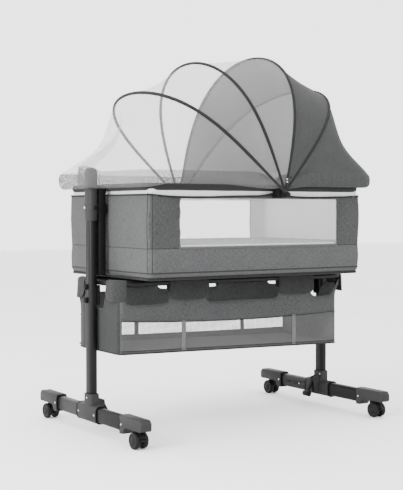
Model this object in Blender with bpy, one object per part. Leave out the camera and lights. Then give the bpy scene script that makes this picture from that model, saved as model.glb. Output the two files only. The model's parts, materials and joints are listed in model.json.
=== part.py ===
"""Bassinet on a wheeled stand. Metres, +X along the length, -Y is the front long side, +Z up.
The origin is on the floor, under the middle. Each stand is built on the +X side and mirrored."""

import math

import bmesh
import bpy
from mathutils import Vector

GAP = 0.0003

# stand
POST_X = 0.445
POST_HALF = (0.0125, 0.019)
POST_CORNER = 0.009
TUBE_WALL = 0.0016
POST_TOP = 0.7445
SOCKET_FLOOR = 0.0890
SOCKET_TOP = 0.118
SOCKET_HALF = (0.0163, 0.0228)
INNER_TUBE_TOP = 0.385
TEE_HALF_LENGTH = 0.062
TEE_HALF = (0.0190, 0.0262)
FOOT_Z = 0.060
FOOT_HALF = (0.0150, 0.0220)
FOOT_CORNER = 0.010
FOOT_END = 0.2220
FOOT_HOLE_YS = (0.101, 0.150)
FOOT_HOLE_R = 0.0030

# foot caps and casters
CAP_INNER_Y = 0.205
CAP_OUTER_Y = 0.328
CAP_HALF_X = 0.0185
STEM_Y = 0.270
STEM_R = 0.0042
STEM_TOP = 0.074
CAP_UNDERSIDE = 0.053
WHEEL_R = 0.024
WHEEL_Y = 0.284
WHEEL_HALF_WIDTH = 0.0215
AXLE_R = 0.004
WEB_HALF = 0.0058
BRAKE_Y = 0.3045
BRAKE_Z = 0.030

# pedal
PEDAL_PIVOT = (0.4110, 0.0920)
PEDAL_TIP = (0.3840, 0.0430)
PEDAL_TIP_R = 0.0095

# upper fittings
SLEEVE_BOTTOM = 0.639
BAND = (0.668, 0.689)
POST_CAP_TOP = 0.798
UPRIGHT_OUT = 0.4279
UPRIGHT_IN = 0.4020
UPRIGHT_HALF_Y = 0.0165
UPRIGHT_BOTTOM = 0.4745
BOLT_ZS = (0.400, 0.440)
BOLT_Y = 0.005
BOLT_R = 0.0030
BRACKET_IN = 0.4215
BRACKET_TOP = 0.4448
BRACKET_BOTTOM = 0.3860

# bassinet
RAIL_HALF = (0.3865, 0.2450)
RAIL_R = 0.0128
RAIL_Z = 0.737
BOX_HALF = (0.390, 0.253)
BOX_CORNER = 0.030
BOX_WALL = 0.004
BOX_BOTTOM = 0.474
BOX_TOP = 0.7235
BOX_FRONT_TOP = 0.7145
WINDOW_Z = (0.560, 0.7080)
FRONT_WINDOW_X = (-0.288, 0.300)
REAR_WINDOW_X = (-0.300, 0.325)
BOARD_Z = (0.4785, 0.4880)
MATTRESS_Z = (0.4885, 0.5740)

# storage basket
FRAME_HALF = (0.4222, 0.1420)
FRAME_R = 0.0085
FRAME_Z = 0.4545
BASKET_LEFT = -0.428
BASKET_RIGHT = 0.396
BASKET_HALF_Y = 0.1420
BASKET_WALL = 0.002
BASKET_FLOOR_Z = 0.237
BASKET_SLOPE = -0.021
BAND_LOW_Z = 0.3415
BAND_SLOPE = -0.010
SCALLOP_Z = 0.3940
FRONT_TABS = ((-0.190, 0.070), (0.218, 0.070))
REAR_TABS = ((-0.190, 0.068), (0.216, 0.108))
END_TAB = 0.058
END_DIP = -0.25

# canopy
HUB = (0.057, 0.718)
HUB_STEP = 0.0068
HUB_Y = 0.2921
HOOP_R = 0.0030
LUG_R = 0.0085
LUG_HALF = 0.0029
PIN_R = 0.0027
# tilt above the horizontal, reach from the hub's axis, how square the bow is, and how far it draws in as it rises
HOOPS = {
    "canopy_hoop_1": (139.0, 0.474, 4.90, 0.078),
    "canopy_hoop_2": (110.1, 0.443, 3.60, 0.055),
    "canopy_hoop_3": (78.7, 0.457, 3.20, -0.060),
    "canopy_hoop_4": (51.7, 0.450, 3.99, -0.080),
}
RIM_HALF = (0.430, 0.291)
RIM_CORNER = 0.085
RIM_TOP = 0.786
RIM_HEM = 0.744
POST_BULGE = 0.040
POST_RISE = 0.020
SHEET = 0.0012
BOW_STEPS = 240
PANEL_FOOT = 0.05

BLACK = (0.012, 0.012, 0.013)
DARK_GREY = (0.075, 0.076, 0.078)
MID_GREY = (0.16, 0.16, 0.165)
LIGHT_GREY = (0.55, 0.55, 0.56)
WHITE = (0.80, 0.80, 0.81)
STEEL = (0.60, 0.60, 0.62)


def clear_scene():
    for ob in list(bpy.data.objects):
        bpy.data.objects.remove(ob, do_unlink=True)


def material(name, colour, roughness, metallic):
    mat = bpy.data.materials.new(name)
    mat.use_nodes = True
    shader = mat.node_tree.nodes["Principled BSDF"]
    shader.inputs["Base Color"].default_value = (*colour, 1.0)
    shader.inputs["Roughness"].default_value = roughness
    shader.inputs["Metallic"].default_value = metallic
    return mat


def add(name, bm, colour, roughness=0.5, metallic=0.0, pivot=(0.0, 0.0, 0.0), smooth=False):
    """One named object from a mesh in world coordinates, with its origin at the pivot."""
    bmesh.ops.recalc_face_normals(bm, faces=bm.faces)
    bmesh.ops.translate(bm, vec=-Vector(pivot), verts=bm.verts)
    mesh = bpy.data.meshes.new(name)
    for face in bm.faces:
        face.smooth = smooth
    bm.to_mesh(mesh)
    bm.free()
    mesh.materials.append(material(name, colour, roughness, metallic))
    ob = bpy.data.objects.new(name, mesh)
    ob.location = pivot
    bpy.context.scene.collection.objects.link(ob)
    return ob


def boolean(target, tool, operation):
    """The exact union or difference of two closed meshes."""
    obs = []
    for bm in (target, tool):
        bmesh.ops.recalc_face_normals(bm, faces=bm.faces)
        mesh = bpy.data.meshes.new("work")
        bm.to_mesh(mesh)
        bm.free()
        ob = bpy.data.objects.new("work", mesh)
        bpy.context.scene.collection.objects.link(ob)
        obs.append(ob)
    cut = obs[0].modifiers.new("cut", "BOOLEAN")
    cut.operation = operation
    cut.solver = "EXACT"
    cut.object = obs[1]
    graph = bpy.context.evaluated_depsgraph_get()
    result = bpy.data.meshes.new_from_object(obs[0].evaluated_get(graph))
    out = bmesh.new()
    out.from_mesh(result)
    bpy.data.meshes.remove(result)
    for ob in obs:
        mesh = ob.data
        bpy.data.objects.remove(ob, do_unlink=True)
        bpy.data.meshes.remove(mesh)
    return out


def mirrored(bm, sx, sy):
    bmesh.ops.scale(bm, vec=(sx, sy, 1.0), verts=bm.verts)
    return bm


def rounded(half_u, half_v, radius, steps=3, along=0):
    """A rounded rectangle as points, anticlockwise from its +u side, with extra points on its long sides."""
    points = []
    for k, (cu, cv) in enumerate(((1, 1), (-1, 1), (-1, -1), (1, -1))):
        centre = (cu * (half_u - radius), cv * (half_v - radius))
        for i in range(steps + 1):
            angle = math.radians(90.0 * (k + i / steps))
            points.append((centre[0] + radius * math.cos(angle), centre[1] + radius * math.sin(angle)))
        if along and k in (0, 2):
            start, end = points[-1], (-points[-1][0], points[-1][1])
            for i in range(1, along):
                points.append((start[0] + (end[0] - start[0]) * i / along, start[1]))
    return points


def circle(radius, sides, centre=(0.0, 0.0)):
    angles = [2 * math.pi * i / sides for i in range(sides)]
    return [(centre[0] + radius * math.cos(a), centre[1] + radius * math.sin(a)) for a in angles]


def on_axis(axis, u, v, w):
    """The point at (u, v) in the plane across an axis and w along it."""
    return {"X": (w, u, v), "Y": (u, w, v), "Z": (u, v, w)}[axis]


def loft(rings, closed=False):
    """A skin through rings of points, capped at both ends, or closed on itself."""
    bm = bmesh.new()
    rows = [[bm.verts.new(p) for p in ring] for ring in rings]
    count = len(rows[0])
    pairs = list(zip(rows, rows[1:])) + ([(rows[-1], rows[0])] if closed else [])
    for a, b in pairs:
        for i in range(count):
            j = (i + 1) % count
            bm.faces.new((a[i], a[j], b[j], b[i]))
    if not closed:
        bm.faces.new(rows[0][::-1])
        bm.faces.new(rows[-1])
    return bm


def prism(loop, axis, low, high):
    return loft([[on_axis(axis, u, v, w) for u, v in loop] for w in (low, high)])


def hollow(outer, inner, axis, low, high):
    """An open tube between an outer and an inner loop of the same number of points."""
    rings = [(outer, low), (outer, high), (inner, high), (inner, low)]
    return loft([[on_axis(axis, u, v, w) for u, v in loop] for loop, w in rings], closed=True)


def shifted(loop, du, dv):
    return [(u + du, v + dv) for u, v in loop]


def cylinder(axis, centre, radius, low, high, sides=16):
    return prism(circle(radius, sides, centre), axis, low, high)


def turned(profile, axis, centre, sides):
    """A solid of revolution from (distance along, radius) points that begin and end on the axis."""
    rings = [
        [on_axis(axis, u, v, w) for u, v in circle(max(r, 1e-4), sides, centre)]
        for w, r in profile
    ]
    return loft(rings)


def swept(path, radius, sides, closed):
    """A round bar along a path of points."""
    points = [Vector(p) for p in path]
    count = len(points)
    tangents = []
    for i in range(count):
        before = points[i - 1] if closed or i else points[0]
        after = points[(i + 1) % count] if closed or i < count - 1 else points[-1]
        tangents.append((after - before).normalized())
    up = Vector((0, 0, 1)) if abs(tangents[0].z) < 0.9 else Vector((1, 0, 0))
    normal = (up - tangents[0] * up.dot(tangents[0])).normalized()
    rings = []
    for point, tangent in zip(points, tangents):
        normal = (normal - tangent * normal.dot(tangent)).normalized()
        side = tangent.cross(normal)
        rings.append([
            point + (normal * math.cos(a) + side * math.sin(a)) * radius
            for a in (2 * math.pi * k / sides for k in range(sides))
        ])
    return loft(rings, closed=closed)


def loop_path(half, corner, z, steps, along):
    return [(x, y, z) for x, y in rounded(half[0], half[1], corner, steps, along)]


# ---------------------------------------------------------------- stands


def tee_joint():
    body = prism(shifted(rounded(*TEE_HALF, 0.0130), POST_X, FOOT_Z), "Y", -TEE_HALF_LENGTH, TEE_HALF_LENGTH)
    socket = prism(shifted(rounded(*SOCKET_HALF, 0.009), POST_X, 0), "Z", FOOT_Z, SOCKET_TOP)
    body = boolean(body, socket, "UNION")
    ear = [(0.431, 0.1040), (0.4065, 0.0975), (0.4045, 0.0880), (0.4140, 0.0400), (0.431, 0.0380)]
    for sign in (-1, 1):
        low, high = sorted((sign * 0.0066, sign * 0.0108))
        body = boolean(body, prism(ear, "Y", low, high), "UNION")
    bore = shifted(rounded(FOOT_HALF[0] + GAP, FOOT_HALF[1] + GAP, FOOT_CORNER), POST_X, FOOT_Z)
    body = boolean(body, prism(bore, "Y", -0.1, 0.1), "DIFFERENCE")
    pocket = shifted(rounded(POST_HALF[0] + GAP, POST_HALF[1] + GAP, POST_CORNER), POST_X, 0)
    body = boolean(body, prism(pocket, "Z", SOCKET_FLOOR, 0.2), "DIFFERENCE")
    return boolean(body, cylinder("Y", PEDAL_PIVOT, 0.0024, -0.02, 0.02, 12), "DIFFERENCE")


def pedal():
    along = Vector((PEDAL_TIP[0] - PEDAL_PIVOT[0], PEDAL_TIP[1] - PEDAL_PIVOT[1])).normalized()
    across = Vector((-along.y, along.x))
    start = Vector(PEDAL_PIVOT) - along * 0.004
    end = Vector(PEDAL_TIP)
    bar = [tuple(start + across * 0.0040), tuple(end + across * 0.0040)]
    bar += [tuple(end - across * 0.0040), tuple(start - across * 0.0040)]
    lever = prism(bar, "Y", -0.0060, 0.0060)
    tip = cylinder("Y", PEDAL_TIP, PEDAL_TIP_R, -0.0135, 0.0135, 18)
    lever = boolean(lever, tip, "UNION")
    return boolean(lever, cylinder("Y", PEDAL_PIVOT, 0.0021, -0.0104, 0.0104, 12), "UNION")


def rect_tube(half, corner, centre, axis, low, high):
    outer = shifted(rounded(*half, corner), *centre)
    inner = shifted(rounded(half[0] - TUBE_WALL, half[1] - TUBE_WALL, corner - TUBE_WALL), *centre)
    return hollow(outer, inner, axis, low, high)


def foot_tube():
    tube = rect_tube(FOOT_HALF, FOOT_CORNER, (POST_X, FOOT_Z), "Y", -FOOT_END, FOOT_END)
    for y in FOOT_HOLE_YS:
        hole = cylinder("X", (y, FOOT_Z), FOOT_HOLE_R, POST_X - 0.020, POST_X - 0.008, 12)
        tube = boolean(tube, hole, "DIFFERENCE")
    return tube


def lock_pin():
    face = POST_X - FOOT_HALF[0]
    profile = [
        (face + 0.0035, 0.0001), (face + 0.0035, 0.0026), (face - 0.0010, 0.0026), (face - 0.0022, 0.0015),
    ]
    return turned(profile, "X", (FOOT_HOLE_YS[0], FOOT_Z), 12)


def foot_cap():
    outline = [
        (CAP_INNER_Y, 0.0335), (0.2230, 0.0335), (0.2285, 0.0400), (0.2325, 0.0485),
        (0.2400, CAP_UNDERSIDE), (0.3210, CAP_UNDERSIDE), (CAP_OUTER_Y, 0.0590), (CAP_OUTER_Y, 0.0765),
        (0.3200, 0.0865), (CAP_INNER_Y, 0.0865),
    ]
    body = prism(outline, "X", POST_X - CAP_HALF_X, POST_X + CAP_HALF_X)
    rims = [e for e in body.edges if len({round(v.co.x, 5) for v in e.verts}) == 1]
    rims = [e for e in rims if all(v.co.z > CAP_UNDERSIDE + 0.005 for v in e.verts)]
    bmesh.ops.bevel(body, geom=rims, offset=0.0042, segments=2, affect="EDGES", profile=0.5)
    pocket = shifted(rounded(FOOT_HALF[0] + GAP, FOOT_HALF[1] + GAP, FOOT_CORNER), POST_X, FOOT_Z)
    body = boolean(body, prism(pocket, "Y", 0.19, FOOT_END + GAP), "DIFFERENCE")
    bore = cylinder("Z", (POST_X, STEM_Y), STEM_R + GAP, 0.03, STEM_TOP + GAP, 14)
    return boolean(body, bore, "DIFFERENCE")


def caster_housing():
    web = [
        (0.2560, 0.0515), (0.2575, 0.0400), (0.2720, 0.0150), (0.2840, 0.0120), (0.2960, 0.0160),
        (0.2995, 0.0260), (0.2990, 0.0400), (0.2900, 0.0515),
    ]
    body = prism(web, "X", POST_X - WEB_HALF, POST_X + WEB_HALF)
    body = boolean(body, cylinder("Z", (POST_X, STEM_Y), 0.0125, 0.0488, 0.0524, 20), "UNION")
    body = boolean(body, cylinder("Z", (POST_X, STEM_Y), STEM_R, 0.0500, STEM_TOP, 14), "UNION")
    return boolean(body, cylinder("X", (WHEEL_Y, WHEEL_R), AXLE_R + GAP, 0.40, 0.50, 14), "DIFFERENCE")


def caster_wheels():
    half = [
        (WHEEL_HALF_WIDTH, 0.0001), (WHEEL_HALF_WIDTH, 0.0190), (0.0190, 0.0235),
        (0.0090, WHEEL_R), (0.0065, 0.0220), (0.0065, AXLE_R),
    ]
    profile = [(POST_X - w, r) for w, r in half] + [(POST_X + w, r) for w, r in reversed(half)]
    return turned(profile, "X", (WHEEL_Y, WHEEL_R), 20)


def brake_lever():
    arm = [
        (BRAKE_Y - 0.0040, BRAKE_Z - 0.0030), (BRAKE_Y + 0.0040, BRAKE_Z - 0.0035), (0.3160, 0.0250),
        (0.3160, 0.0300), (BRAKE_Y + 0.0040, BRAKE_Z + 0.0030), (BRAKE_Y - 0.0040, BRAKE_Z + 0.0030),
    ]
    body = prism(arm, "X", POST_X - 0.0055, POST_X + 0.0055)
    tab = [(0.3100, 0.0245), (0.3160, 0.0245), (0.3160, 0.0305), (0.3100, 0.0315)]
    return boolean(body, prism(tab, "X", POST_X - 0.0098, POST_X + 0.0098), "UNION")


def build_stand(side, sx):
    def put(name, bm, colour, rough, metal=0.0, pivot=(0, 0, 0), sy=1, smooth=False):
        mirrored(bm, sx, sy)
        spot = (pivot[0] * sx, pivot[1] * sy, pivot[2])
        add(f"{side}_{name}", bm, colour, rough, metal, spot, smooth)

    put("t_joint", tee_joint(), MID_GREY, 0.55, pivot=(POST_X, 0, FOOT_Z))
    half = (POST_HALF[0] - TUBE_WALL - 0.0004, POST_HALF[1] - TUBE_WALL - 0.0004)
    corner = POST_CORNER - TUBE_WALL - 0.0004
    inner = rect_tube(half, corner, (POST_X, 0), "Z", SOCKET_FLOOR + GAP, INNER_TUBE_TOP)
    put("inner_tube", inner, STEEL, 0.3, 1.0, (POST_X, 0, SOCKET_FLOOR))
    put("pedal", pedal(), BLACK, 0.6, pivot=(PEDAL_PIVOT[0], 0, PEDAL_PIVOT[1]))
    put("foot_tube", foot_tube(), BLACK, 0.35, 0.3, (POST_X, 0, FOOT_Z))
    put("lock_pin", lock_pin(), STEEL, 0.25, 1.0, (POST_X, 0, FOOT_Z))
    for place, sy in (("front", -1), ("rear", 1)):
        put(f"{place}_foot_cap", foot_cap(), MID_GREY, 0.55, pivot=(POST_X, FOOT_END, FOOT_Z), sy=sy)
        put(f"{place}_caster_housing", caster_housing(), BLACK, 0.5, pivot=(POST_X, STEM_Y, STEM_TOP), sy=sy)
        axle = (POST_X, WHEEL_Y, WHEEL_R)
        put(f"{place}_caster_wheels", caster_wheels(), BLACK, 0.45, pivot=axle, sy=sy, smooth=True)
        put(f"{place}_brake_lever", brake_lever(), BLACK, 0.5, pivot=(POST_X, BRAKE_Y, BRAKE_Z), sy=sy)


# ---------------------------------------------------------------- posts and their fittings


def post():
    tube = rect_tube(POST_HALF, POST_CORNER, (POST_X, 0), "Z", SOCKET_FLOOR + GAP, POST_TOP)
    for z in BOLT_ZS:
        tube = boolean(tube, cylinder("X", (BOLT_Y, z), BOLT_R + GAP, 0.42, 0.47, 12), "DIFFERENCE")
    return tube


def post_sleeve():
    """A sleeve closed at its top, with a raised band round it for the release buttons."""
    def ring(grow, z):
        half = (POST_HALF[0] + grow, POST_HALF[1] + grow)
        return [(POST_X + u, v, z) for u, v in rounded(*half, POST_CORNER + max(min(grow, 0.003), -0.004))]

    wall, raised = 0.0024, 0.0042
    rings = [
        ring(GAP, POST_TOP + GAP), ring(GAP, SLEEVE_BOTTOM), ring(wall, SLEEVE_BOTTOM), ring(wall, BAND[0]),
    ]
    rings += [ring(raised, BAND[0] + 0.0012), ring(raised, BAND[1] - 0.0012), ring(wall, BAND[1])]
    rings += [ring(wall, 0.782), ring(0.0010, 0.790), ring(-0.0020, 0.7955), ring(-0.0060, POST_CAP_TOP)]
    return loft(rings)


def upright():
    def ring(inner, z):
        half = (UPRIGHT_OUT - inner) / 2
        return [(UPRIGHT_OUT - half + u, v, z) for u, v in rounded(half, UPRIGHT_HALF_Y, 0.005, 2)]

    levels = [
        (UPRIGHT_IN, UPRIGHT_BOTTOM), (UPRIGHT_IN, 0.650), (0.3965, 0.662), (0.3950, 0.672), (0.3965, 0.684),
    ]
    levels += [(UPRIGHT_IN, 0.694), (UPRIGHT_IN, 0.722), (0.3998, 0.724), (0.3998, POST_TOP)]
    return loft([ring(inner, z) for inner, z in levels])


def frame_bracket():
    low, high = BRACKET_IN, POST_X - POST_HALF[0] - GAP
    half = (high - low) / 2
    plate = shifted(rounded(half, 0.016, 0.003, 1), low + half, 0)
    body = prism(plate, "Z", BRACKET_BOTTOM, BRACKET_TOP)
    for z in BOLT_ZS:
        body = boolean(body, cylinder("X", (BOLT_Y, z), BOLT_R + GAP, 0.41, 0.44, 12), "DIFFERENCE")
    return body


def frame_bolts():
    """Two round knobs outside the post, with shanks through it into one nut plate inside the bracket."""
    outer = POST_X + POST_HALF[0] + GAP
    plate = BRACKET_IN - GAP
    profile = [(plate - 0.0020, 0.0001), (plate - 0.0020, BOLT_R), (outer, BOLT_R), (outer, 0.0085)]
    profile += [(outer + 0.0065, 0.0088), (outer + 0.0092, 0.0070), (outer + 0.0100, 0.0035)]
    nut = [
        (BOLT_Y - 0.006, 0.3920), (BOLT_Y + 0.006, 0.3920), (BOLT_Y + 0.006, 0.4444), (BOLT_Y - 0.006, 0.4444),
    ]
    body = prism(nut, "X", plate - 0.0030, plate)
    for z in BOLT_ZS:
        body = boolean(body, turned(profile, "X", (BOLT_Y, z), 14), "UNION")
    return body


def build_posts():
    for side, sx in (("left", -1), ("right", 1)):
        base = (sx * POST_X, 0, 0)
        for name, shape, colour, rough, metal in (
            ("post", post(), BLACK, 0.35, 0.3),
            ("post_sleeve", post_sleeve(), MID_GREY, 0.5, 0.0),
            ("upright", upright(), BLACK, 0.5, 0.0),
            ("frame_bracket", frame_bracket(), BLACK, 0.5, 0.0),
            ("frame_bolts", frame_bolts(), BLACK, 0.45, 0.0),
        ):
            add(f"{side}_{name}", mirrored(shape, sx, 1), colour, rough, metal, base)


# ---------------------------------------------------------------- bassinet


def top_z(x, y):
    """The box's top edge: under the rail, and lower along the open front edge."""
    return BOX_FRONT_TOP if y < -BOX_HALF[1] + BOX_CORNER * 0.6 else BOX_TOP


def fabric_box():
    def ring(inset, height):
        loop = rounded(BOX_HALF[0] - inset, BOX_HALF[1] - inset, BOX_CORNER - inset, 3, 6)
        return [(x, y, height(x, y) if callable(height) else height) for x, y in loop]

    rings = [
        ring(0.006, BOX_BOTTOM), ring(0.0012, BOX_BOTTOM + 0.0022), ring(0, BOX_BOTTOM + 0.008), ring(0, top_z),
    ]
    rings += [ring(BOX_WALL, top_z), ring(BOX_WALL, BOX_BOTTOM + BOX_WALL)]
    body = loft(rings)
    for sign, span in ((-1, FRONT_WINDOW_X), (1, REAR_WINDOW_X)):
        low, high = sorted((sign * 0.240, sign * 0.270))
        middle = ((span[0] + span[1]) / 2, sum(WINDOW_Z) / 2)
        half = ((span[1] - span[0]) / 2, (WINDOW_Z[1] - WINDOW_Z[0]) / 2)
        window = shifted(rounded(*half, 0.006, 2), *middle)
        body = boolean(body, prism(window, "Y", low, high), "DIFFERENCE")
    return body


def window_mesh(sign, span):
    half = ((span[1] - span[0]) / 2 - GAP, (WINDOW_Z[1] - WINDOW_Z[0]) / 2 - GAP)
    plane = shifted(rounded(*half, 0.006, 2), (span[0] + span[1]) / 2, sum(WINDOW_Z) / 2)
    low, high = sorted((sign * (BOX_HALF[1] - 0.0026), sign * (BOX_HALF[1] - 0.0014)))
    return prism(plane, "Y", low, high)


def pad(half, corner, low, high, crown, bulge):
    """A soft slab with rounded edges and a crowned top."""
    levels = [(0.006, low), (0.0, low + 0.010), (-bulge, (low + high) / 2), (0.0, high - 0.012)]
    levels += [(0.010, high - 0.002), (0.060, high + crown * 0.6), (0.150, high + crown)]
    return loft([
        [(x, y, z) for x, y in rounded(half[0] - inset, half[1] - inset, max(corner - inset, 0.012), 3, 4)]
        for inset, z in levels
    ])


def build_bassinet():
    rail = swept(loop_path(RAIL_HALF, 0.055, RAIL_Z, 4, 4), RAIL_R, 8, True)
    add("top_rail", rail, DARK_GREY, 0.9, smooth=True)
    add("fabric_box", fabric_box(), MID_GREY, 0.95)
    add("front_window_mesh", window_mesh(-1, FRONT_WINDOW_X), WHITE, 0.9)
    add("rear_window_mesh", window_mesh(1, REAR_WINDOW_X), WHITE, 0.9)
    front = -BOX_HALF[1] - 0.0031
    piping = swept([(x, front, 0.7112) for x in (-0.356, -0.12, 0.12, 0.356)], 0.0027, 8, False)
    add("front_piping", piping, BLACK, 0.8, smooth=True)
    board = prism(rounded(0.3845, 0.2475, 0.024, 3), "Z", *BOARD_Z)
    add("base_board", board, LIGHT_GREY, 0.7)
    mattress = pad((0.3800, 0.2430), 0.030, *MATTRESS_Z, 0.003, 0.003)
    add("mattress", mattress, LIGHT_GREY, 0.9, smooth=True)


# ---------------------------------------------------------------- storage basket


def step(a, b, t):
    s = min(max((t - a) / (b - a), 0.0), 1.0)
    return s * s * (3 - 2 * s)


def basket_outline():
    """The basket's outline as (x, y, share): share is 1 where the wall rises to the frame, 0 in a
    scallop, and less at the ends, where the wall dips under the frame's brackets."""
    slope, corner = 0.007, 0.014
    left, right, half_y = BASKET_LEFT, BASKET_RIGHT, BASKET_HALF_Y
    sides = []
    for tabs in (FRONT_TABS, REAR_TABS):
        top = [(left + corner, 1), (left + 0.030, 0)]
        for centre, half in tabs:
            edges = ((-1, slope, 0), (-1, -slope, 1), (1, -slope, 1), (1, slope, 0))
            top += [(centre + side * (half + grow), share) for side, grow, share in edges]
        sides.append(top + [(right - 0.030, 0), (right - corner, 1)])
    front, rear = sides
    end = [(-half_y + corner, 1), (-END_TAB + slope, 1), (-END_TAB + 3 * slope, END_DIP)]
    end += [(-y, share) for y, share in reversed(end)]
    points = [(x, -half_y, share) for x, share in front] + [(right, y, share) for y, share in end]
    points += [(x, half_y, share) for x, share in reversed(rear)]
    return points + [(left, y, share) for y, share in reversed(end)]


def basket_ring(height, inset):
    """The outline at a level: height(x, share) gives z, and the ends lean out to the frame as they rise."""
    points = []
    for x, y, share in basket_outline():
        z = height(x, share)
        lean = step(SCALLOP_Z, FRAME_Z - FRAME_R, z)
        end_x = abs(x - BASKET_LEFT) < 1e-6 or abs(x - BASKET_RIGHT) < 1e-6
        if x > BASKET_RIGHT - 0.02:
            x += (FRAME_HALF[0] - 0.002 - BASKET_RIGHT) * lean
        if x < BASKET_LEFT + 0.02:
            x -= (FRAME_HALF[0] - 0.002 + BASKET_LEFT) * lean
        if end_x:
            x -= math.copysign(inset, x)
        else:
            y -= math.copysign(inset, y)
        points.append((x, y, z))
    return points


def basket_top(x, share):
    return SCALLOP_Z + (FRAME_Z - FRAME_R - 0.0012 - SCALLOP_Z) * share


def basket_bottom(x, share=0):
    return BASKET_FLOOR_Z + BASKET_SLOPE * x


def band_low(x):
    return BAND_LOW_Z + BAND_SLOPE * x


def storage_basket():
    rings = [
        basket_ring(basket_bottom, 0.004),
        basket_ring(lambda x, share: basket_bottom(x) + 0.004, 0.0),
        basket_ring(lambda x, share: 0.378, 0.0),
        basket_ring(basket_top, 0.0),
        basket_ring(basket_top, BASKET_WALL),
        basket_ring(lambda x, share: 0.378, BASKET_WALL),
        basket_ring(lambda x, share: basket_bottom(x) + 0.006, BASKET_WALL),
        basket_ring(lambda x, share: basket_bottom(x) + 0.003, 0.006),
    ]
    body = loft(rings)
    for sy, tabs in ((-1, FRONT_TABS), (1, REAR_TABS)):
        for centre, half in tabs:
            tab = flap("X", centre - half, centre + half, sy * FRAME_HALF[1])
            body = boolean(body, tab, "UNION")
        for sx in (-1, 1):
            low, high = sorted((sy * END_TAB, sy * (END_TAB + 0.042)))
            body = boolean(body, flap("Y", low, high, sx * FRAME_HALF[0]), "UNION")
    for sign in (-1, 1):
        low, high = sorted((sign * 0.120, sign * 0.160))
        body = boolean(body, prism(mesh_outline(0.0), "Y", low, high), "DIFFERENCE")
    return body


def mesh_outline(inset):
    left, right = BASKET_LEFT + 0.014 + inset, BASKET_RIGHT - 0.012 - inset
    low = [(x, basket_bottom(x) + 0.012 + inset) for x in (left, right)]
    high = [(x, band_low(x) - inset) for x in (right, left)]
    return low + high


def basket_mesh(sign):
    low, high = sorted((sign * (BASKET_HALF_Y - 0.0016), sign * (BASKET_HALF_Y - 0.0006)))
    return prism(mesh_outline(GAP), "Y", low, high)


def basket_floor():
    """A stiff sheet that lies just above the fabric bottom and slopes with it."""
    left, right = BASKET_LEFT + 0.010, BASKET_RIGHT - 0.010
    rings = []
    for x in (left, right):
        z = basket_bottom(x) + 0.0066
        rings.append([(x, -0.1335, z), (x, 0.1335, z), (x, 0.1335, z + 0.004), (x, -0.1335, z + 0.004)])
    return loft(rings)


def flap(along, low, high, offset):
    """A fabric tab folded over the frame tube: it joins the wall below and hangs down outside."""
    inner, outer, tail = FRAME_R + 2 * GAP, FRAME_R + 0.0026, -0.050
    angles = [math.radians(265 - a) for a in range(0, 265, 20)] + [0.0]
    skin = [(math.cos(a) * outer, math.sin(a) * outer) for a in angles]
    lining = [(math.cos(a) * inner, math.sin(a) * inner) for a in reversed(angles)]
    section = skin + [(outer, tail), (inner, tail)] + lining
    side = math.copysign(1.0, offset)
    return prism([(offset + side * u, FRAME_Z + v) for u, v in section], along, low, high)


def build_basket():
    tube = swept(loop_path(FRAME_HALF, 0.038, FRAME_Z, 4, 4), FRAME_R, 8, True)
    add("basket_frame", tube, BLACK, 0.4, 0.3, smooth=True)
    add("storage_basket", storage_basket(), MID_GREY, 0.95)
    add("basket_mesh_front", basket_mesh(-1), LIGHT_GREY, 0.9)
    add("basket_mesh_rear", basket_mesh(1), LIGHT_GREY, 0.9)
    add("basket_floor", basket_floor(), MID_GREY, 0.9)


# ---------------------------------------------------------------- canopy


def bow(name, order):
    """A hoop's line from its front foot to its rear foot, in the tilted plane that holds the hub's axis."""
    tilt, reach, power, taper = HOOPS[name]
    half = HUB_Y + HUB_STEP * (len(HOOPS) - 1 - order)
    a = math.radians(tilt)
    front = []
    for i in range(BOW_STEPS + 1):
        rise = math.sin(math.pi / 2 * i / BOW_STEPS)
        v = -half * math.sqrt(max(0.0, 1 - rise ** power)) * (1 - taper * rise)
        front.append(Vector((HUB[0] + rise * reach * math.cos(a), v, HUB[1] + rise * reach * math.sin(a))))
    return front + [Vector((p.x, -p.y, p.z)) for p in reversed(front[:-1])]


def spread(line, count, start=0.0):
    """Points spaced evenly along a line, from a share of its length to the same share before its end."""
    reached = [0.0]
    for a, b in zip(line, line[1:]):
        reached.append(reached[-1] + (b - a).length)
    points = []
    k = 0
    for i in range(count + 1):
        at = reached[-1] * (start + (1 - 2 * start) * i / count)
        while k < len(line) - 2 and reached[k + 1] < at:
            k += 1
        points.append(line[k].lerp(line[k + 1], (at - reached[k]) / (reached[k + 1] - reached[k])))
    return points


def hoop(name):
    tilt = math.radians(HOOPS[name][0])
    axis_dir = Vector((math.cos(tilt), 0, math.sin(tilt)))
    line = bow(name, list(HOOPS).index(name))
    ends = [line[0], line[-1]]
    path = spread(line, 44)[1:-1]
    start = ends[0] + axis_dir * (LUG_R * 0.7)
    finish = ends[1] + axis_dir * (LUG_R * 0.7)
    path = [p for p in path if (p - ends[0]).length > LUG_R * 1.6 and (p - ends[1]).length > LUG_R * 1.6]
    body = swept([start] + path + [finish], HOOP_R, 6, False)
    for end in ends:
        lug = cylinder("Y", HUB, LUG_R, end.y - LUG_HALF, end.y + LUG_HALF, 12)
        body = boolean(body, lug, "UNION")
        body = boolean(body, cylinder("Y", HUB, PIN_R + GAP, end.y - 0.01, end.y + 0.01, 12), "DIFFERENCE")
    return body


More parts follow.
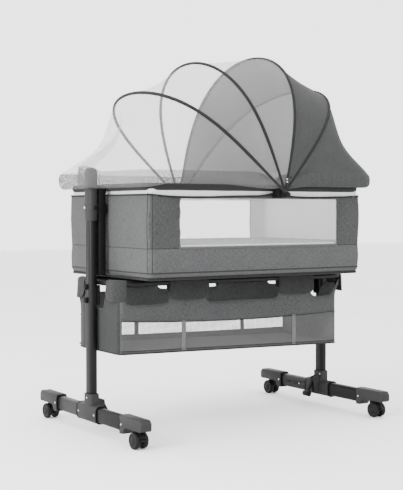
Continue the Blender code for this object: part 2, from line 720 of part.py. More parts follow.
def hub(sy):
    """A clip on the rail's outside with the pin that the hoops' ends turn on, and the pin's round head."""
    clip = [
        (HUB[0] - 0.016, 0.7080), (HUB[0] + 0.016, 0.7080),
        (HUB[0] + 0.016, 0.7420), (HUB[0] - 0.016, 0.7420),
    ]
    body = prism(clip, "Y", 0.2590, 0.2860)
    top = HUB_Y + HUB_STEP * 3 + LUG_HALF
    body = boolean(body, cylinder("Y", HUB, PIN_R, 0.2800, top + 0.0030, 12), "UNION")
    head = turned(
        [(top + 0.0012, 0.0080), (top + 0.0032, 0.0080), (top + 0.0048, 0.0050)], "Y", HUB, 16)
    return mirrored(boolean(body, head, "UNION"), 1, sy)


def sheet(grid):
    """A closed thin solid from a grid of points."""
    rows, cols = len(grid), len(grid[0])
    normals = [[None] * cols for _ in range(rows)]
    for i in range(rows):
        for j in range(cols):
            du = grid[min(i + 1, rows - 1)][j] - grid[max(i - 1, 0)][j]
            dv = grid[i][min(j + 1, cols - 1)] - grid[i][max(j - 1, 0)]
            normals[i][j] = du.cross(dv).normalized()
    bm = bmesh.new()
    sides = []
    for offset in (-SHEET / 2, SHEET / 2):
        sides.append([
            [bm.verts.new(grid[i][j] + normals[i][j] * offset) for j in range(cols)] for i in range(rows)
        ])
    for side in sides:
        for i in range(rows - 1):
            for j in range(cols - 1):
                bm.faces.new((side[i][j], side[i + 1][j], side[i + 1][j + 1], side[i][j + 1]))
    low, high = sides
    rim = [(i, 0) for i in range(rows)] + [(rows - 1, j) for j in range(1, cols)]
    rim += [(i, cols - 1) for i in range(rows - 2, -1, -1)] + [(0, j) for j in range(cols - 2, 0, -1)]
    for (a, b), (c, d) in zip(rim, rim[1:] + rim[:1]):
        bm.faces.new((low[a][b], low[c][d], high[c][d], high[a][b]))
    return bm


def fan_panel(first, second, sag):
    """The fabric between two hoops, a little inside both so that no hoop is touched."""
    rows = []
    clear = HOOP_R + SHEET
    for a, b in zip(spread(bow(first, 3), 24, PANEL_FOOT), spread(bow(second, 3), 24, PANEL_FOOT)):
        span = (b - a).length
        start = min(clear / span, 0.4)
        row = []
        for k in range(5):
            s = start + (1 - 2 * start) * k / 4
            point = a.lerp(b, s)
            inward = Vector((HUB[0], point.y * 0.6, HUB[1])) - point
            row.append(point + inward.normalized() * sag * span * 4 * s * (1 - s))
        rows.append(row)
    return sheet(rows)


def rim_point(side, name, share, grow, z):
    """A point on the rim's outline, from beside the hoop at the front, round an end, to the rear."""
    hx, hy, r = RIM_HALF[0] + grow, RIM_HALF[1] + grow, RIM_CORNER + grow
    start = HUB[0] + (RIM_TOP - HUB[1]) / math.tan(math.radians(HOOPS[name][0])) + side * 0.026
    straight = hx - side * start - r
    arc = math.pi / 2 * r
    end = 2 * (hy - r)
    total = 2 * straight + 2 * arc + end
    d = share * total
    mirror = -1.0
    if d > total / 2:
        d = total - d
        mirror = 1.0
    if d < straight:
        x, y = start + side * d, hy
    elif d < straight + arc:
        angle = (d - straight) / r
        x, y = side * (hx - r + r * math.sin(angle)), hy - r + r * math.cos(angle)
    else:
        y = hy - r - (d - straight - arc)
        over = 1 - step(0.040, 0.075, y)
        x = side * (hx + over * POST_BULGE)
        z += over * POST_RISE if z >= RIM_TOP else 0.0
    return Vector((x, mirror * y, z))


def end_panel(name, side, sag):
    """The fabric from an end hoop down to the rim, with its elastic skirt over the rail."""
    rows = []
    clear = HOOP_R + 3 * SHEET
    skirt = [
        (0.0015, RIM_TOP - 0.008), (0.0040, RIM_TOP - 0.020), (0.0010, RIM_HEM + 0.006), (-0.006, RIM_HEM),
    ]
    tops = spread(bow(name, 3), 32, PANEL_FOOT)
    for i, a in enumerate(tops):
        share = i / 32
        b = rim_point(side, name, share, 0.0, RIM_TOP)
        span = (b - a).length
        start = min(clear / span, 0.4)
        row = []
        for k in range(6):
            s = start + (1 - start) * k / 5
            point = a.lerp(b, s)
            inward = Vector((HUB[0] + side * 0.05, point.y * 0.75, RIM_TOP)) - point
            row.append(point + inward.normalized() * sag * span * 4 * s * (1 - s))
        row += [rim_point(side, name, share, grow, z) for grow, z in skirt]
        rows.append(row)
    return sheet(rows)


def build_canopy():
    pivot = (HUB[0], 0, HUB[1])
    for name in HOOPS:
        add(name, hoop(name), BLACK, 0.5, pivot=pivot, smooth=True)
    add("canopy_hub_front", hub(-1), BLACK, 0.5)
    add("canopy_hub_rear", hub(1), BLACK, 0.5)
    names = list(HOOPS)
    add("canopy_net_1_2", fan_panel(names[0], names[1], 0.05), WHITE, 0.9, pivot=pivot, smooth=True)
    add("canopy_net_2_3", fan_panel(names[1], names[2], 0.03), WHITE, 0.9, pivot=pivot, smooth=True)
    add("canopy_hood_3_4", fan_panel(names[2], names[3], 0.03), DARK_GREY, 0.95, pivot=pivot, smooth=True)
    add("canopy_net_end", end_panel(names[0], -1, 0.07), WHITE, 0.9, pivot=pivot, smooth=True)
    add("canopy_hood_end", end_panel(names[3], 1, 0.05), DARK_GREY, 0.95, pivot=pivot, smooth=True)


def main():
    clear_scene()
    for side, sx in (("left", -1), ("right", 1)):
        build_stand(side, sx)
    build_posts()
    build_bassinet()
    build_basket()
    build_canopy()


main()
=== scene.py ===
"""The looks of a bassinet on a wheeled stand: cloth, net, trim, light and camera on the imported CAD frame."""

import json
import math

import bmesh
import bpy
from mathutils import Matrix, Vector, noise


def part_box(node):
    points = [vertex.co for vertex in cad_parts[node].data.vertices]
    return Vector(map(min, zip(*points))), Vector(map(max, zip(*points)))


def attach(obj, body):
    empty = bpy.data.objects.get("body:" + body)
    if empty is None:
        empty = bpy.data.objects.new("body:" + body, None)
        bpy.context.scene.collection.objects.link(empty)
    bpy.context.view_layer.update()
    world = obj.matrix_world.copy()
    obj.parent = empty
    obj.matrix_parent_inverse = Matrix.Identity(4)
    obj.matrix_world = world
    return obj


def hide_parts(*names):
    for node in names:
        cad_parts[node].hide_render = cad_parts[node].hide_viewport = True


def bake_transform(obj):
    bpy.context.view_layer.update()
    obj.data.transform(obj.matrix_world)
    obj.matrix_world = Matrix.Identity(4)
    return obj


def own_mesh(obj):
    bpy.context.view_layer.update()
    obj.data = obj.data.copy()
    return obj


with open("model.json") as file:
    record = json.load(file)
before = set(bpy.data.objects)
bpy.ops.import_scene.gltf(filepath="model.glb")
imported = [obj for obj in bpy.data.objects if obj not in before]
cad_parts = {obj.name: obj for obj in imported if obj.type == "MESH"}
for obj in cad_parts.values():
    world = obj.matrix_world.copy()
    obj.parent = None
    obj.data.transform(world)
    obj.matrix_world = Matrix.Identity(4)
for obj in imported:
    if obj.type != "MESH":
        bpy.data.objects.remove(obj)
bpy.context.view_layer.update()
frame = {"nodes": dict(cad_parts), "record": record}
BODY_OF = {node: body for body, nodes in frame["record"]["behaviour"]["bodies"].items() for node in nodes}
HUB = Vector(next(j["pos_m"] for j in frame["record"]["behaviour"]["joints"] if j["name"] == "canopy_fold"))

# each hoop's tilt above the horizontal, its reach from the hub's axis, how square its bow is, and how far
# it draws in as it rises
HOOPS = {
    "canopy_hoop_1": (139.0, 0.474, 4.90, 0.078),
    "canopy_hoop_2": (110.1, 0.443, 3.60, 0.055),
    "canopy_hoop_3": (78.7, 0.457, 3.20, -0.060),
    "canopy_hoop_4": (51.7, 0.450, 3.99, -0.080),
}
HOOP_NAMES = list(HOOPS)
HUB_Y = 0.2921
HUB_STEP = 0.0068
PANEL_FOOT = 0.05
RIM_HALF = (0.430, 0.291)
RIM_CORNER = {-1: 0.067, 1: 0.055}
RIM_TOP = 0.786
END_BUMP = {-1: 0.044, 1: 0.0495}

BOX_LOW, BOX_HIGH = (Vector(p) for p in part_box("fabric_box"))
BOX_HALF = (BOX_HIGH.x, BOX_HIGH.y)
BOX_CORNER = 0.019
LINER = 0.0036
FRONT_TOP = 0.7140
END_DROP = 0.0050
RIGHT_SWELL = 0.0100
SEAM_Z = 0.5600
PIPING_Z = BOX_LOW.z + 0.0150
FRONT_WINDOW = [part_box("front_window_mesh")[k] for k in (0, 1)]
REAR_WINDOW = [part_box("rear_window_mesh")[k] for k in (0, 1)]

RAIL_LOW, RAIL_HIGH = (Vector(p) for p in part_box("top_rail"))
RAIL_R = (RAIL_HIGH.z - RAIL_LOW.z) / 2
RAIL_Z = (RAIL_HIGH.z + RAIL_LOW.z) / 2
RAIL_THINNER = 0.0018
FRAME_LOW, FRAME_HIGH = (Vector(p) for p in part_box("basket_frame"))
FRAME_R = (FRAME_HIGH.z - FRAME_LOW.z) / 2
FRAME_Z = (FRAME_HIGH.z + FRAME_LOW.z) / 2
FRAME_CORNER = 0.038

BASKET_LEFT = -0.428
BASKET_RIGHT = 0.396
BASKET_HALF_Y = 0.1420
BASKET_FLOOR_Z = 0.237
BASKET_SLOPE = -0.021
BAND_LOW_Z = 0.3415
BAND_SLOPE = -0.010
SCALLOP_Z = 0.3940
FRONT_TABS = ((-0.190, 0.070), (0.218, 0.070))
REAR_TABS = ((-0.190, 0.068), (0.216, 0.108))
END_TAB = 0.058
POST_X = 0.445
FOOT_Z = 0.060


# ---------------------------------------------------------------- materials


class Shader:
    """A material with a Principled shader and short calls for the nodes that feed it."""

    def __init__(self, name, roughness=0.5, metallic=0.0, sheen=0.0, specular=0.5):
        self.mat = bpy.data.materials.new(name)
        self.mat.use_nodes = True
        self.tree = self.mat.node_tree
        self.bsdf = self.tree.nodes["Principled BSDF"]
        self.bsdf.inputs["Roughness"].default_value = roughness
        self.bsdf.inputs["Metallic"].default_value = metallic
        self.bsdf.inputs["Sheen Weight"].default_value = sheen
        self.bsdf.inputs["Sheen Roughness"].default_value = 0.5
        self.bsdf.inputs["Specular IOR Level"].default_value = specular
        self.coords = self.tree.nodes.new("ShaderNodeTexCoord")

    def node(self, kind, **values):
        made = self.tree.nodes.new(kind)
        for key, value in values.items():
            if key in made.inputs:
                made.inputs[key].default_value = value
            else:
                setattr(made, key, value)
        return made

    def link(self, a, b):
        self.tree.links.new(a, b)

    def scaled(self, source, scale):
        mapping = self.node("ShaderNodeMapping")
        mapping.inputs["Scale"].default_value = scale
        self.link(self.coords.outputs[source], mapping.inputs["Vector"])
        return mapping.outputs["Vector"]

    def noise(self, vector, scale, detail=3.0):
        made = self.node("ShaderNodeTexNoise", Scale=scale, Detail=detail)
        self.link(vector, made.inputs["Vector"])
        return made.outputs["Fac"]

    def wave(self, vector, period, direction, distortion=0.0):
        made = self.node("ShaderNodeTexWave", bands_direction=direction, Scale=math.pi / 10 / period)
        made.inputs["Distortion"].default_value = distortion
        made.inputs["Detail Scale"].default_value = 1.5
        self.link(vector, made.inputs["Vector"])
        return made.outputs["Fac"]

    def math(self, operation, a, b):
        made = self.node("ShaderNodeMath", operation=operation)
        for socket, value in zip(made.inputs, (a, b)):
            if isinstance(value, (int, float)):
                socket.default_value = value
            else:
                self.link(value, socket)
        return made.outputs[0]

    def ramp(self, factor, stops):
        made = self.node("ShaderNodeValToRGB")
        elements = made.color_ramp.elements
        while len(elements) < len(stops):
            elements.new(0.5)
        for element, (place, colour) in zip(elements, stops):
            element.position = place
            element.color = (*colour, 1.0) if len(colour) == 3 else colour
        self.link(factor, made.inputs["Fac"])
        return made.outputs["Color"]

    def colour(self, value):
        self.link(value, self.bsdf.inputs["Base Color"])

    def bump(self, height, strength, distance):
        made = self.node("ShaderNodeBump", Strength=strength, Distance=distance)
        self.link(height, made.inputs["Height"])
        self.link(made.outputs["Normal"], self.bsdf.inputs["Normal"])


def grey(value, tint=0.0):
    return (value * (1 - tint), value, value * (1 + tint))


def woven(name, dark, light, thread=0.0016, sheen=0.06, heather=1.0, bump=0.5, back=None):
    """Heather cloth: a plain weave of slubby light and dark threads, in metres over the piece's UVs.
    back is the colour of the cloth's inner side, where that differs."""
    s = Shader(name, 0.92, sheen=sheen, specular=0.10)
    uv = s.scaled("UV", (1, 1, 1))
    warp = s.wave(uv, thread, "X", 0.4)
    weft = s.wave(uv, thread, "Y", 0.4)
    slub_a = s.noise(s.scaled("UV", (90, 620, 1)), 1.0, 2.0)
    slub_b = s.noise(s.scaled("UV", (620, 90, 1)), 1.0, 2.0)
    mottle = s.noise(uv, 14.0, 3.0)
    mix = s.math("ADD", s.math("MULTIPLY", slub_a, 0.5 * heather), s.math("MULTIPLY", slub_b, 0.5 * heather))
    mix = s.math("ADD", s.math("MULTIPLY", mix, 0.9), s.math("MULTIPLY", mottle, 0.1))
    face = s.ramp(mix, [(0.34, dark), (0.62, light)])
    if back:
        blend = s.node("ShaderNodeMix", data_type="RGBA")
        s.link(s.node("ShaderNodeNewGeometry").outputs["Backfacing"], blend.inputs[0])
        s.link(face, blend.inputs[6])
        blend.inputs[7].default_value = (*back, 1.0)
        face = blend.outputs[2]
    s.colour(face)
    height = s.math("ADD", s.math("MULTIPLY", warp, weft), s.math("MULTIPLY", slub_a, 0.7))
    s.bump(height, bump, 0.0006)
    return s.mat


def netting(name, colour, pitch, cover, blotch=0.0, sheen=0.03):
    """Open net: threads on a grid over the UVs, with clear holes between them. blotch is how much the
    weave opens and closes from place to place."""
    s = Shader(name, 0.85, sheen=sheen, specular=0.1)
    uv = s.scaled("UV", (1, 1, 1))
    threads = s.math("MAXIMUM", s.wave(uv, pitch, "X"), s.wave(uv, pitch, "Y"))
    gather = s.noise(s.scaled("UV", (260, 90, 1)), 1.0, 2.0)
    closeness = s.math("MULTIPLY", s.math("SUBTRACT", gather, 0.5), 2.0 * cover * blotch)
    solid = s.math("GREATER_THAN", s.math("ADD", threads, closeness), 1.0 - cover)
    cloud = s.noise(uv, 9.0, 3.0)
    tone = s.ramp(cloud, [(0.3, tuple(c * 0.93 for c in colour)), (0.7, colour)])
    s.colour(tone)
    s.link(solid, s.bsdf.inputs["Alpha"])
    s.bump(threads, 0.3, 0.0003)
    return s.mat


def coated(name, value, roughness=0.42):
    """Satin powder coat: an orange-peel skin with slight gloss changes and lighter rubs."""
    s = Shader(name, roughness, specular=0.14)
    obj = s.scaled("Object", (1, 1, 1))
    peel = s.noise(obj, 900.0, 2.0)
    wear = s.noise(obj, 26.0, 4.0)
    s.colour(s.ramp(wear, [(0.35, grey(value)), (0.75, grey(value * 1.35))]))
    rough = s.node("ShaderNodeMapRange")
    rough.inputs["To Min"].default_value = roughness - 0.06
    rough.inputs["To Max"].default_value = roughness + 0.10
    s.link(wear, rough.inputs["Value"])
    s.link(rough.outputs["Result"], s.bsdf.inputs["Roughness"])
    s.bump(peel, 0.12, 0.0003)
    return s.mat


def moulded(name, value):
    """Spark-textured moulding: fine grain, faint flow marks, sharp edges lighter and hollows darker, the
    darkening in the hollows being painted shade.
    """
    s = Shader(name, 0.55, specular=0.10)
    obj = s.scaled("Object", (1, 1, 1))
    fine = s.noise(obj, 1400.0, 2.0)
    flow = s.noise(s.scaled("Object", (1, 1, 0.3)), 18.0, 3.0)
    # Pointiness lightens sharp edges and darkens hollows: the darkening in the hollows is painted shade.
    edge = s.node("ShaderNodeNewGeometry").outputs["Pointiness"]
    edge_lift_and_hollow_shade = s.math("MULTIPLY", s.math("SUBTRACT", edge, 0.5), 0.8)
    tone = s.math("ADD", s.math("MULTIPLY", flow, 0.6), s.math("ADD", edge_lift_and_hollow_shade, 0.2))
    s.colour(s.ramp(tone, [(0.25, grey(value * 0.88)), (0.85, grey(value * 1.22))]))
    s.bump(fine, 0.25, 0.0003)
    return s.mat


def steel(name, value=0.6, roughness=0.28):
    """Plated steel with fine draw lines."""
    s = Shader(name, roughness, 1.0)
    lines = s.noise(s.scaled("Object", (900, 900, 8)), 1.0, 2.0)
    s.colour(s.ramp(lines, [(0.3, grey(value * 0.85)), (0.7, grey(value))]))
    s.bump(lines, 0.08, 0.0002)
    return s.mat


def rubber(name, value=0.004):
    """Caster tread: a hard dull plastic, dusty on the tread."""
    s = Shader(name, 0.6, specular=0.12)
    obj = s.scaled("Object", (1, 1, 1))
    dust = s.noise(obj, 60.0, 4.0)
    s.colour(s.ramp(dust, [(0.45, grey(value)), (0.8, grey(value * 2.2))]))
    s.bump(s.noise(obj, 1100.0, 2.0), 0.2, 0.0003)
    return s.mat


MAT = {
    "heather": woven("heather_grey", grey(0.030), grey(0.064, 0.02)),
    "heather_deep": woven("heather_deep", grey(0.018), grey(0.048, 0.02)),
    "heather_dark": woven("heather_band", grey(0.009), grey(0.020, 0.02), 0.0014),
    "hood": woven("hood_cloth", grey(0.016), grey(0.042, 0.02), 0.0015, back=grey(0.13)),
    "basket": woven("basket_cloth", grey(0.021), grey(0.058, 0.02)),
    # A darker copy of the basket cloth: painted shade on the basket's ends and on the tabs folded over the
    # frame.
    "basket_painted_shade": woven("basket_cloth_painted_shade", grey(0.009), grey(0.027, 0.02)),
    # Lighter than the outer cloth: painted light on the basket's inner side, which the lamps leave dark.
    "basket_lining_painted_light": woven("basket_lining_painted_light", grey(0.075), grey(0.150, 0.02)),
    "basket_floor": woven("basket_floor_cloth", grey(0.05), grey(0.11, 0.02)),
    "liner": woven("liner_cloth", grey(0.50), grey(0.68), 0.0012, heather=0.8, bump=0.3),
    "cover": woven("mattress_cover", grey(0.15), grey(0.28), 0.0020, heather=0.8),
    "binding": woven("dark_binding", grey(0.005), grey(0.013), 0.0011, bump=0.7),
    "webbing": woven("webbing", grey(0.06), grey(0.11), 0.0013, bump=0.8),
    "net": netting("white_net", grey(0.36), 0.0026, 0.052, 0.6),
    # The skirt's net is coloured far darker than the white net: painted shade in its gathers.
    "skirt_net_painted_shade": netting("gathered_net_painted_shade", grey(0.10), 0.0022, 0.34, 1.2),
    "window": netting("window_net", grey(0.50), 0.0022, 0.035, 0.8),
    "basket_net": netting("basket_net", grey(0.13), 0.0028, 0.065, 0.8),
    "black_tube": coated("black_powder_coat", 0.0032),
    "hoop": woven("hoop_binding", grey(0.006), grey(0.015), 0.0010, bump=0.6),
    "grey_plastic": moulded("grey_moulding", 0.018),
    "black_plastic": moulded("black_moulding", 0.0035),
    "steel": steel("plated_steel"),
    "inner_steel": steel("inner_tube_steel", 0.30, 0.36),
    "tread": rubber("caster_tread"),
}


# ---------------------------------------------------------------- mesh tools


def added(name, data):
    """A new object of the scene."""
    ob = bpy.data.objects.new(name, data)
    bpy.context.scene.collection.objects.link(ob)
    return ob


def finish_mesh(name, bm, mats):
    mesh = bpy.data.meshes.new(name)
    for face in bm.faces:
        face.smooth = True
    bm.to_mesh(mesh)
    bm.free()
    for mat in mats:
        mesh.materials.append(mat)
    return added(name, mesh)


def surface(name, grid, mats, closed=False, pick=None, keep=None, inside=None):
    """A sheet through rows of points, with UVs in metres. pick gives a face's material, keep drops faces,
    and the sheet faces away from the point inside."""
    rows, cols = len(grid), len(grid[0])
    bm = bmesh.new()
    uv = bm.loops.layers.uv.new("UVMap")
    verts = [[bm.verts.new(p) for p in row] for row in grid]
    middle = cols // 2
    along = [0.0]
    for i in range(rows):
        along.append(along[-1] + (Vector(grid[(i + 1) % rows][middle]) - Vector(grid[i][middle])).length)
    across = [0.0]
    for j in range(cols - 1):
        half = rows // 2
        across.append(across[-1] + (Vector(grid[half][j + 1]) - Vector(grid[half][j])).length)
    for i in range(rows if closed else rows - 1):
        k = (i + 1) % rows
        for j in range(cols - 1):
            centre = (Vector(grid[i][j]) + Vector(grid[k][j + 1])) / 2
            if keep and not keep(centre, i, j):
                continue
            face = bm.faces.new((verts[i][j], verts[k][j], verts[k][j + 1], verts[i][j + 1]))
            spots = ((along[i], across[j]), (along[i + 1], across[j]))
            spots += ((along[i + 1], across[j + 1]), (along[i], across[j + 1]))
            for loop, spot in zip(face.loops, spots):
                loop[uv].uv = spot
            if pick:
                face.material_index = pick(centre, i, j)
    loose = [v for v in bm.verts if not v.link_faces]
    bmesh.ops.delete(bm, geom=loose, context="VERTS")
    bm.normal_update()
    if inside and sum((f.calc_center_median() - inside).dot(f.normal) for f in bm.faces) < 0:
        bmesh.ops.reverse_faces(bm, faces=bm.faces)
    return finish_mesh(name, bm, mats)


def rings_mesh(name, rings, mats, loop=False):
    """A skin through rings of points, closed at its ends or round in a loop, with UVs in metres."""
    count = len(rings[0])
    bm = bmesh.new()
    uv = bm.loops.layers.uv.new("UVMap")
    verts = [[bm.verts.new(p) for p in ring] for ring in rings]
    girth = sum((Vector(rings[0][k]) - Vector(rings[0][k - 1])).length for k in range(count))
    length = 0.0
    spans = list(zip(range(len(rings)), range(1, len(rings)))) + ([(len(rings) - 1, 0)] if loop else [])
    for a, b in spans:
        reach = (Vector(rings[b][0]) - Vector(rings[a][0])).length
        for k in range(count):
            n = (k + 1) % count
            face = bm.faces.new((verts[a][k], verts[a][n], verts[b][n], verts[b][k]))
            u0, u1 = girth * k / count, girth * (k + 1) / count
            spots = ((u0, length), (u1, length), (u1, length + reach), (u0, length + reach))
            for corner, spot in zip(face.loops, spots):
                corner[uv].uv = spot
        length += reach
    if not loop:
        bm.faces.new(verts[0][::-1])
        bm.faces.new(verts[-1])
    bmesh.ops.recalc_face_normals(bm, faces=bm.faces)
    return finish_mesh(name, bm, mats)


def turns(count):
    """The angles of points spaced evenly round a circle."""
    return [2 * math.pi * k / count for k in range(count)]


def tube(name, path, radius, mat, closed=False, sides=12, flat=1.0, side_hint=None):
    """A round or flattened bar along a path. radius may be a function of the share of the path."""
    points = [Vector(p) for p in path]
    count = len(points)
    size = radius if callable(radius) else (lambda share: radius)
    hint = Vector(side_hint or (0.31, 0.17, 0.93))
    normal = None
    rings = []
    for i, point in enumerate(points):
        before = points[i - 1] if closed or i else points[0]
        after = points[(i + 1) % count] if closed or i < count - 1 else points[-1]
        tangent = (after - before).normalized()
        normal = hint if normal is None or side_hint else normal
        normal = (normal - tangent * normal.dot(tangent)).normalized()
        side = tangent.cross(normal)
        r = size(i / max(count - 1, 1))
        rings.append([
            point + normal * math.cos(a) * r + side * math.sin(a) * r * flat
            for a in turns(sides)
        ])
    return rings_mesh(name, rings, [mat], loop=closed)


def modified(ob, kind, **values):
    """Adds a modifier and bakes it into the mesh."""
    made = ob.modifiers.new(kind.lower(), kind)
    for key, value in values.items():
        setattr(made, key, value)
    graph = bpy.context.evaluated_depsgraph_get()
    baked = ob.evaluated_get(graph)
    mesh = bpy.data.meshes.new_from_object(baked, preserve_all_data_layers=True, depsgraph=graph)
    ob.modifiers.clear()
    old = ob.data
    ob.data = mesh
    bpy.data.meshes.remove(old)
    return ob


def put(ob, body, replaces=()):
    """The piece ob rides on the body and stands for the CAD nodes it replaces."""
    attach(ob, body)
    if replaces:
        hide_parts(*replaces)
    return ob


def trim(name, path, radius, mat="binding", replaces=(), **shape):
    """A cord of piping, binding or seam sewn along a path on the bassinet."""
    return put(tube(name, path, radius, MAT[mat], **shape), "bassinet", replaces)


def step(a, b, t):
    """A smooth rise from 0 at t = a to 1 at t = b."""
    s = min(max((t - a) / (b - a), 0.0), 1.0)
    return s * s * (3 - 2 * s)


def lerp(a, b, t):
    return a + (b - a) * t


def wobble(point, scale, amount, seed=0.0):
    """A smooth unevenness of a surface at a point."""
    return noise.noise(Vector(point) * scale + Vector((seed, seed * 1.7, -seed))) * amount


def rounded(half_u, half_v, radius, steps, spacing=None):
    """A rounded rectangle anticlockwise from its +u side, its straights cut to about the spacing."""
    points = []
    for k, (cu, cv) in enumerate(((1, 1), (-1, 1), (-1, -1), (1, -1))):
        centre = Vector((cu * (half_u - radius), cv * (half_v - radius)))
        for i in range(steps + 1):
            angle = math.radians(90.0 * (k + i / steps))
            points.append(centre + Vector((math.cos(angle), math.sin(angle))) * radius)
    if spacing is None:
        return points
    dense = []
    for k, a in enumerate(points):
        b = points[(k + 1) % len(points)]
        n = max(1, round((b - a).length / spacing))
        dense += [a.lerp(b, i / n) for i in range(n)]
    return dense


# ---------------------------------------------------------------- stand and fittings


def refined(node, mat, bevel):
    """A copy of a hard CAD node with its edges broken and its round faces smooth."""
    ob = added(f"{node}_skin", frame["nodes"][node].data.copy())
    ob.data.materials.clear()
    ob.data.materials.append(mat)
    bm = bmesh.new()
    bm.from_mesh(ob.data)
    bmesh.ops.remove_doubles(bm, verts=bm.verts, dist=0.00002)
    bmesh.ops.dissolve_limit(bm, angle_limit=math.radians(1.0), verts=bm.verts, edges=bm.edges)
    for face in bm.faces:
        face.smooth = True
    bm.to_mesh(ob.data)
    bm.free()
    if bevel:
        modified(ob, "BEVEL", width=bevel, segments=2, limit_method="ANGLE",
                 angle_limit=math.radians(38), harden_normals=False, use_clamp_overlap=True)
    ob.data.set_sharp_from_angle(angle=math.radians(38))
    return put(ob, BODY_OF[node], [node])


def domed_head(name, centre, axis, radius, height, mat="steel", body="bassinet"):
    """A rivet or button head: a low dome on a short rim."""
    axis = Vector(axis).normalized()
    side = axis.orthogonal().normalized()
    other = axis.cross(side)
    rings = []
    for r, h in ((1.0, 0.0), (1.0, 0.35), (0.93, 0.62), (0.75, 0.84), (0.45, 0.97), (0.12, 1.0)):
        rings.append([
            Vector(centre) + axis * height * h + (side * math.cos(a) + other * math.sin(a)) * radius * r
            for a in turns(20)
        ])
    return put(rings_mesh(name, rings, [MAT[mat]]), body)


def shadow_band(name, half, corner, x, y, width, proud, body):
    """A black band painted in as the shadow line at a moulding's mouth: a thin band round the
    rounded-rectangle foot tube.
    """
    rings = []
    for along, grow in ((-0.5, -0.2), (-0.5, 0.8), (-0.3, 1.0), (0.3, 1.0), (0.5, 0.8), (0.5, -0.2)):
        loop = rounded(half[0] + proud * grow, half[1] + proud * grow, corner + proud * grow, 6)
        rings.append([(x + p.x, y + along * width, FOOT_Z + p.y) for p in loop])
    return put(rings_mesh(name, rings, [MAT["black_plastic"]], loop=True), body)


def caster_wheel(name, centre, sign, body):
    """One caster disc: a rounded tread, a shallow dish and a hub cap, turned about the axle."""
    tread = [(0.0066, 0.0040), (0.0066, 0.0205), (0.0072, 0.0226), (0.0090, 0.0238), (0.0125, 0.0240),
             (0.0165, 0.0238), (0.0192, 0.0228), (0.0205, 0.0212), (0.0208, 0.0192)]
    dish = [(0.0196, 0.0180), (0.0192, 0.0120), (0.0200, 0.0095)]
    hub_cap = [(0.0213, 0.0085), (0.0215, 0.0040), (0.0214, 0.0010)]
    rings = []
    for along, r in tread + dish + hub_cap:
        rings.append([
            (centre[0] + sign * along, centre[1] + r * math.cos(a), centre[2] + r * math.sin(a))
            for a in turns(48)
        ])
    ob = rings_mesh(name, rings, [MAT["tread"]])
    return put(ob, body)


def caster_fender(name, centre, body):
    """The hood over a caster's wheels: a curved shell on the housing, open below."""
    under_cap = 0.0486
    sy = math.copysign(1.0, centre[1])
    grid = []
    for i in range(17):
        angle = math.radians(lerp(28, 172, i / 16))
        row = []
        for j in range(13):
            across = lerp(-1.0, 1.0, j / 12)
            r = 0.0252 - 0.0010 * abs(across) ** 4
            y = centre[1] - sy * r * math.cos(angle)
            z = min(centre[2] + r * math.sin(angle), under_cap)
            row.append((centre[0] + across * 0.0062, y, z))
        grid.append(row)
    ob = surface(name, grid, [MAT["black_plastic"]])
    modified(ob, "SOLIDIFY", thickness=0.0008, offset=1.0)
    return put(ob, body)


def build_caster(side, end):
    low, high = (Vector(p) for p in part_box(f"{side}_{end}_caster_wheels"))
    centre = (low + high) / 2
    wheels = f"{side}_{end}_wheels"
    outer = caster_wheel(f"{wheels}_outer", centre, 1, wheels)
    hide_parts(f"{side}_{end}_caster_wheels")
    caster_wheel(f"{wheels}_inner", centre, -1, wheels)
    axle = [(centre.x + dx, centre.y, centre.z) for dx in (-0.0068, 0.0, 0.0068)]
    put(tube(f"{wheels}_axle", axle, 0.0038, MAT["steel"]), wheels)
    caster_fender(f"{side}_{end}_fender", centre, f"{side}_{end}_caster")


def foot_end(side, end, sx, sy):
    """The painted shadow bands and rivets at one end of a foot."""
    stand, foot = f"{side}_stand", f"{side}_foot"
    x = sx * POST_X
    shadow_band(f"{side}_{end}_cap_shadow_band", (0.0154, 0.0224), 0.0104, x, sy * 0.2036, 0.0030, 0.0042, foot)
    shadow_band(f"{side}_{end}_tee_shadow_band", (0.0156, 0.0226), 0.0106, x, sy * 0.0614, 0.0026, 0.0046, stand)
    for tag, out in (("", -sx), ("_outer", sx)):
        spot = (x + out * 0.0186, sy * 0.2150, FOOT_Z)
        domed_head(f"{side}_{end}_cap_rivet{tag}", spot, (out, 0, 0), 0.0030, 0.0014, body=foot)
    spot = (x + sx * 0.0191, sy * 0.0500, FOOT_Z)
    domed_head(f"{side}_{end}_tee_rivet", spot, (sx, 0, 0), 0.0030, 0.0014, body=stand)


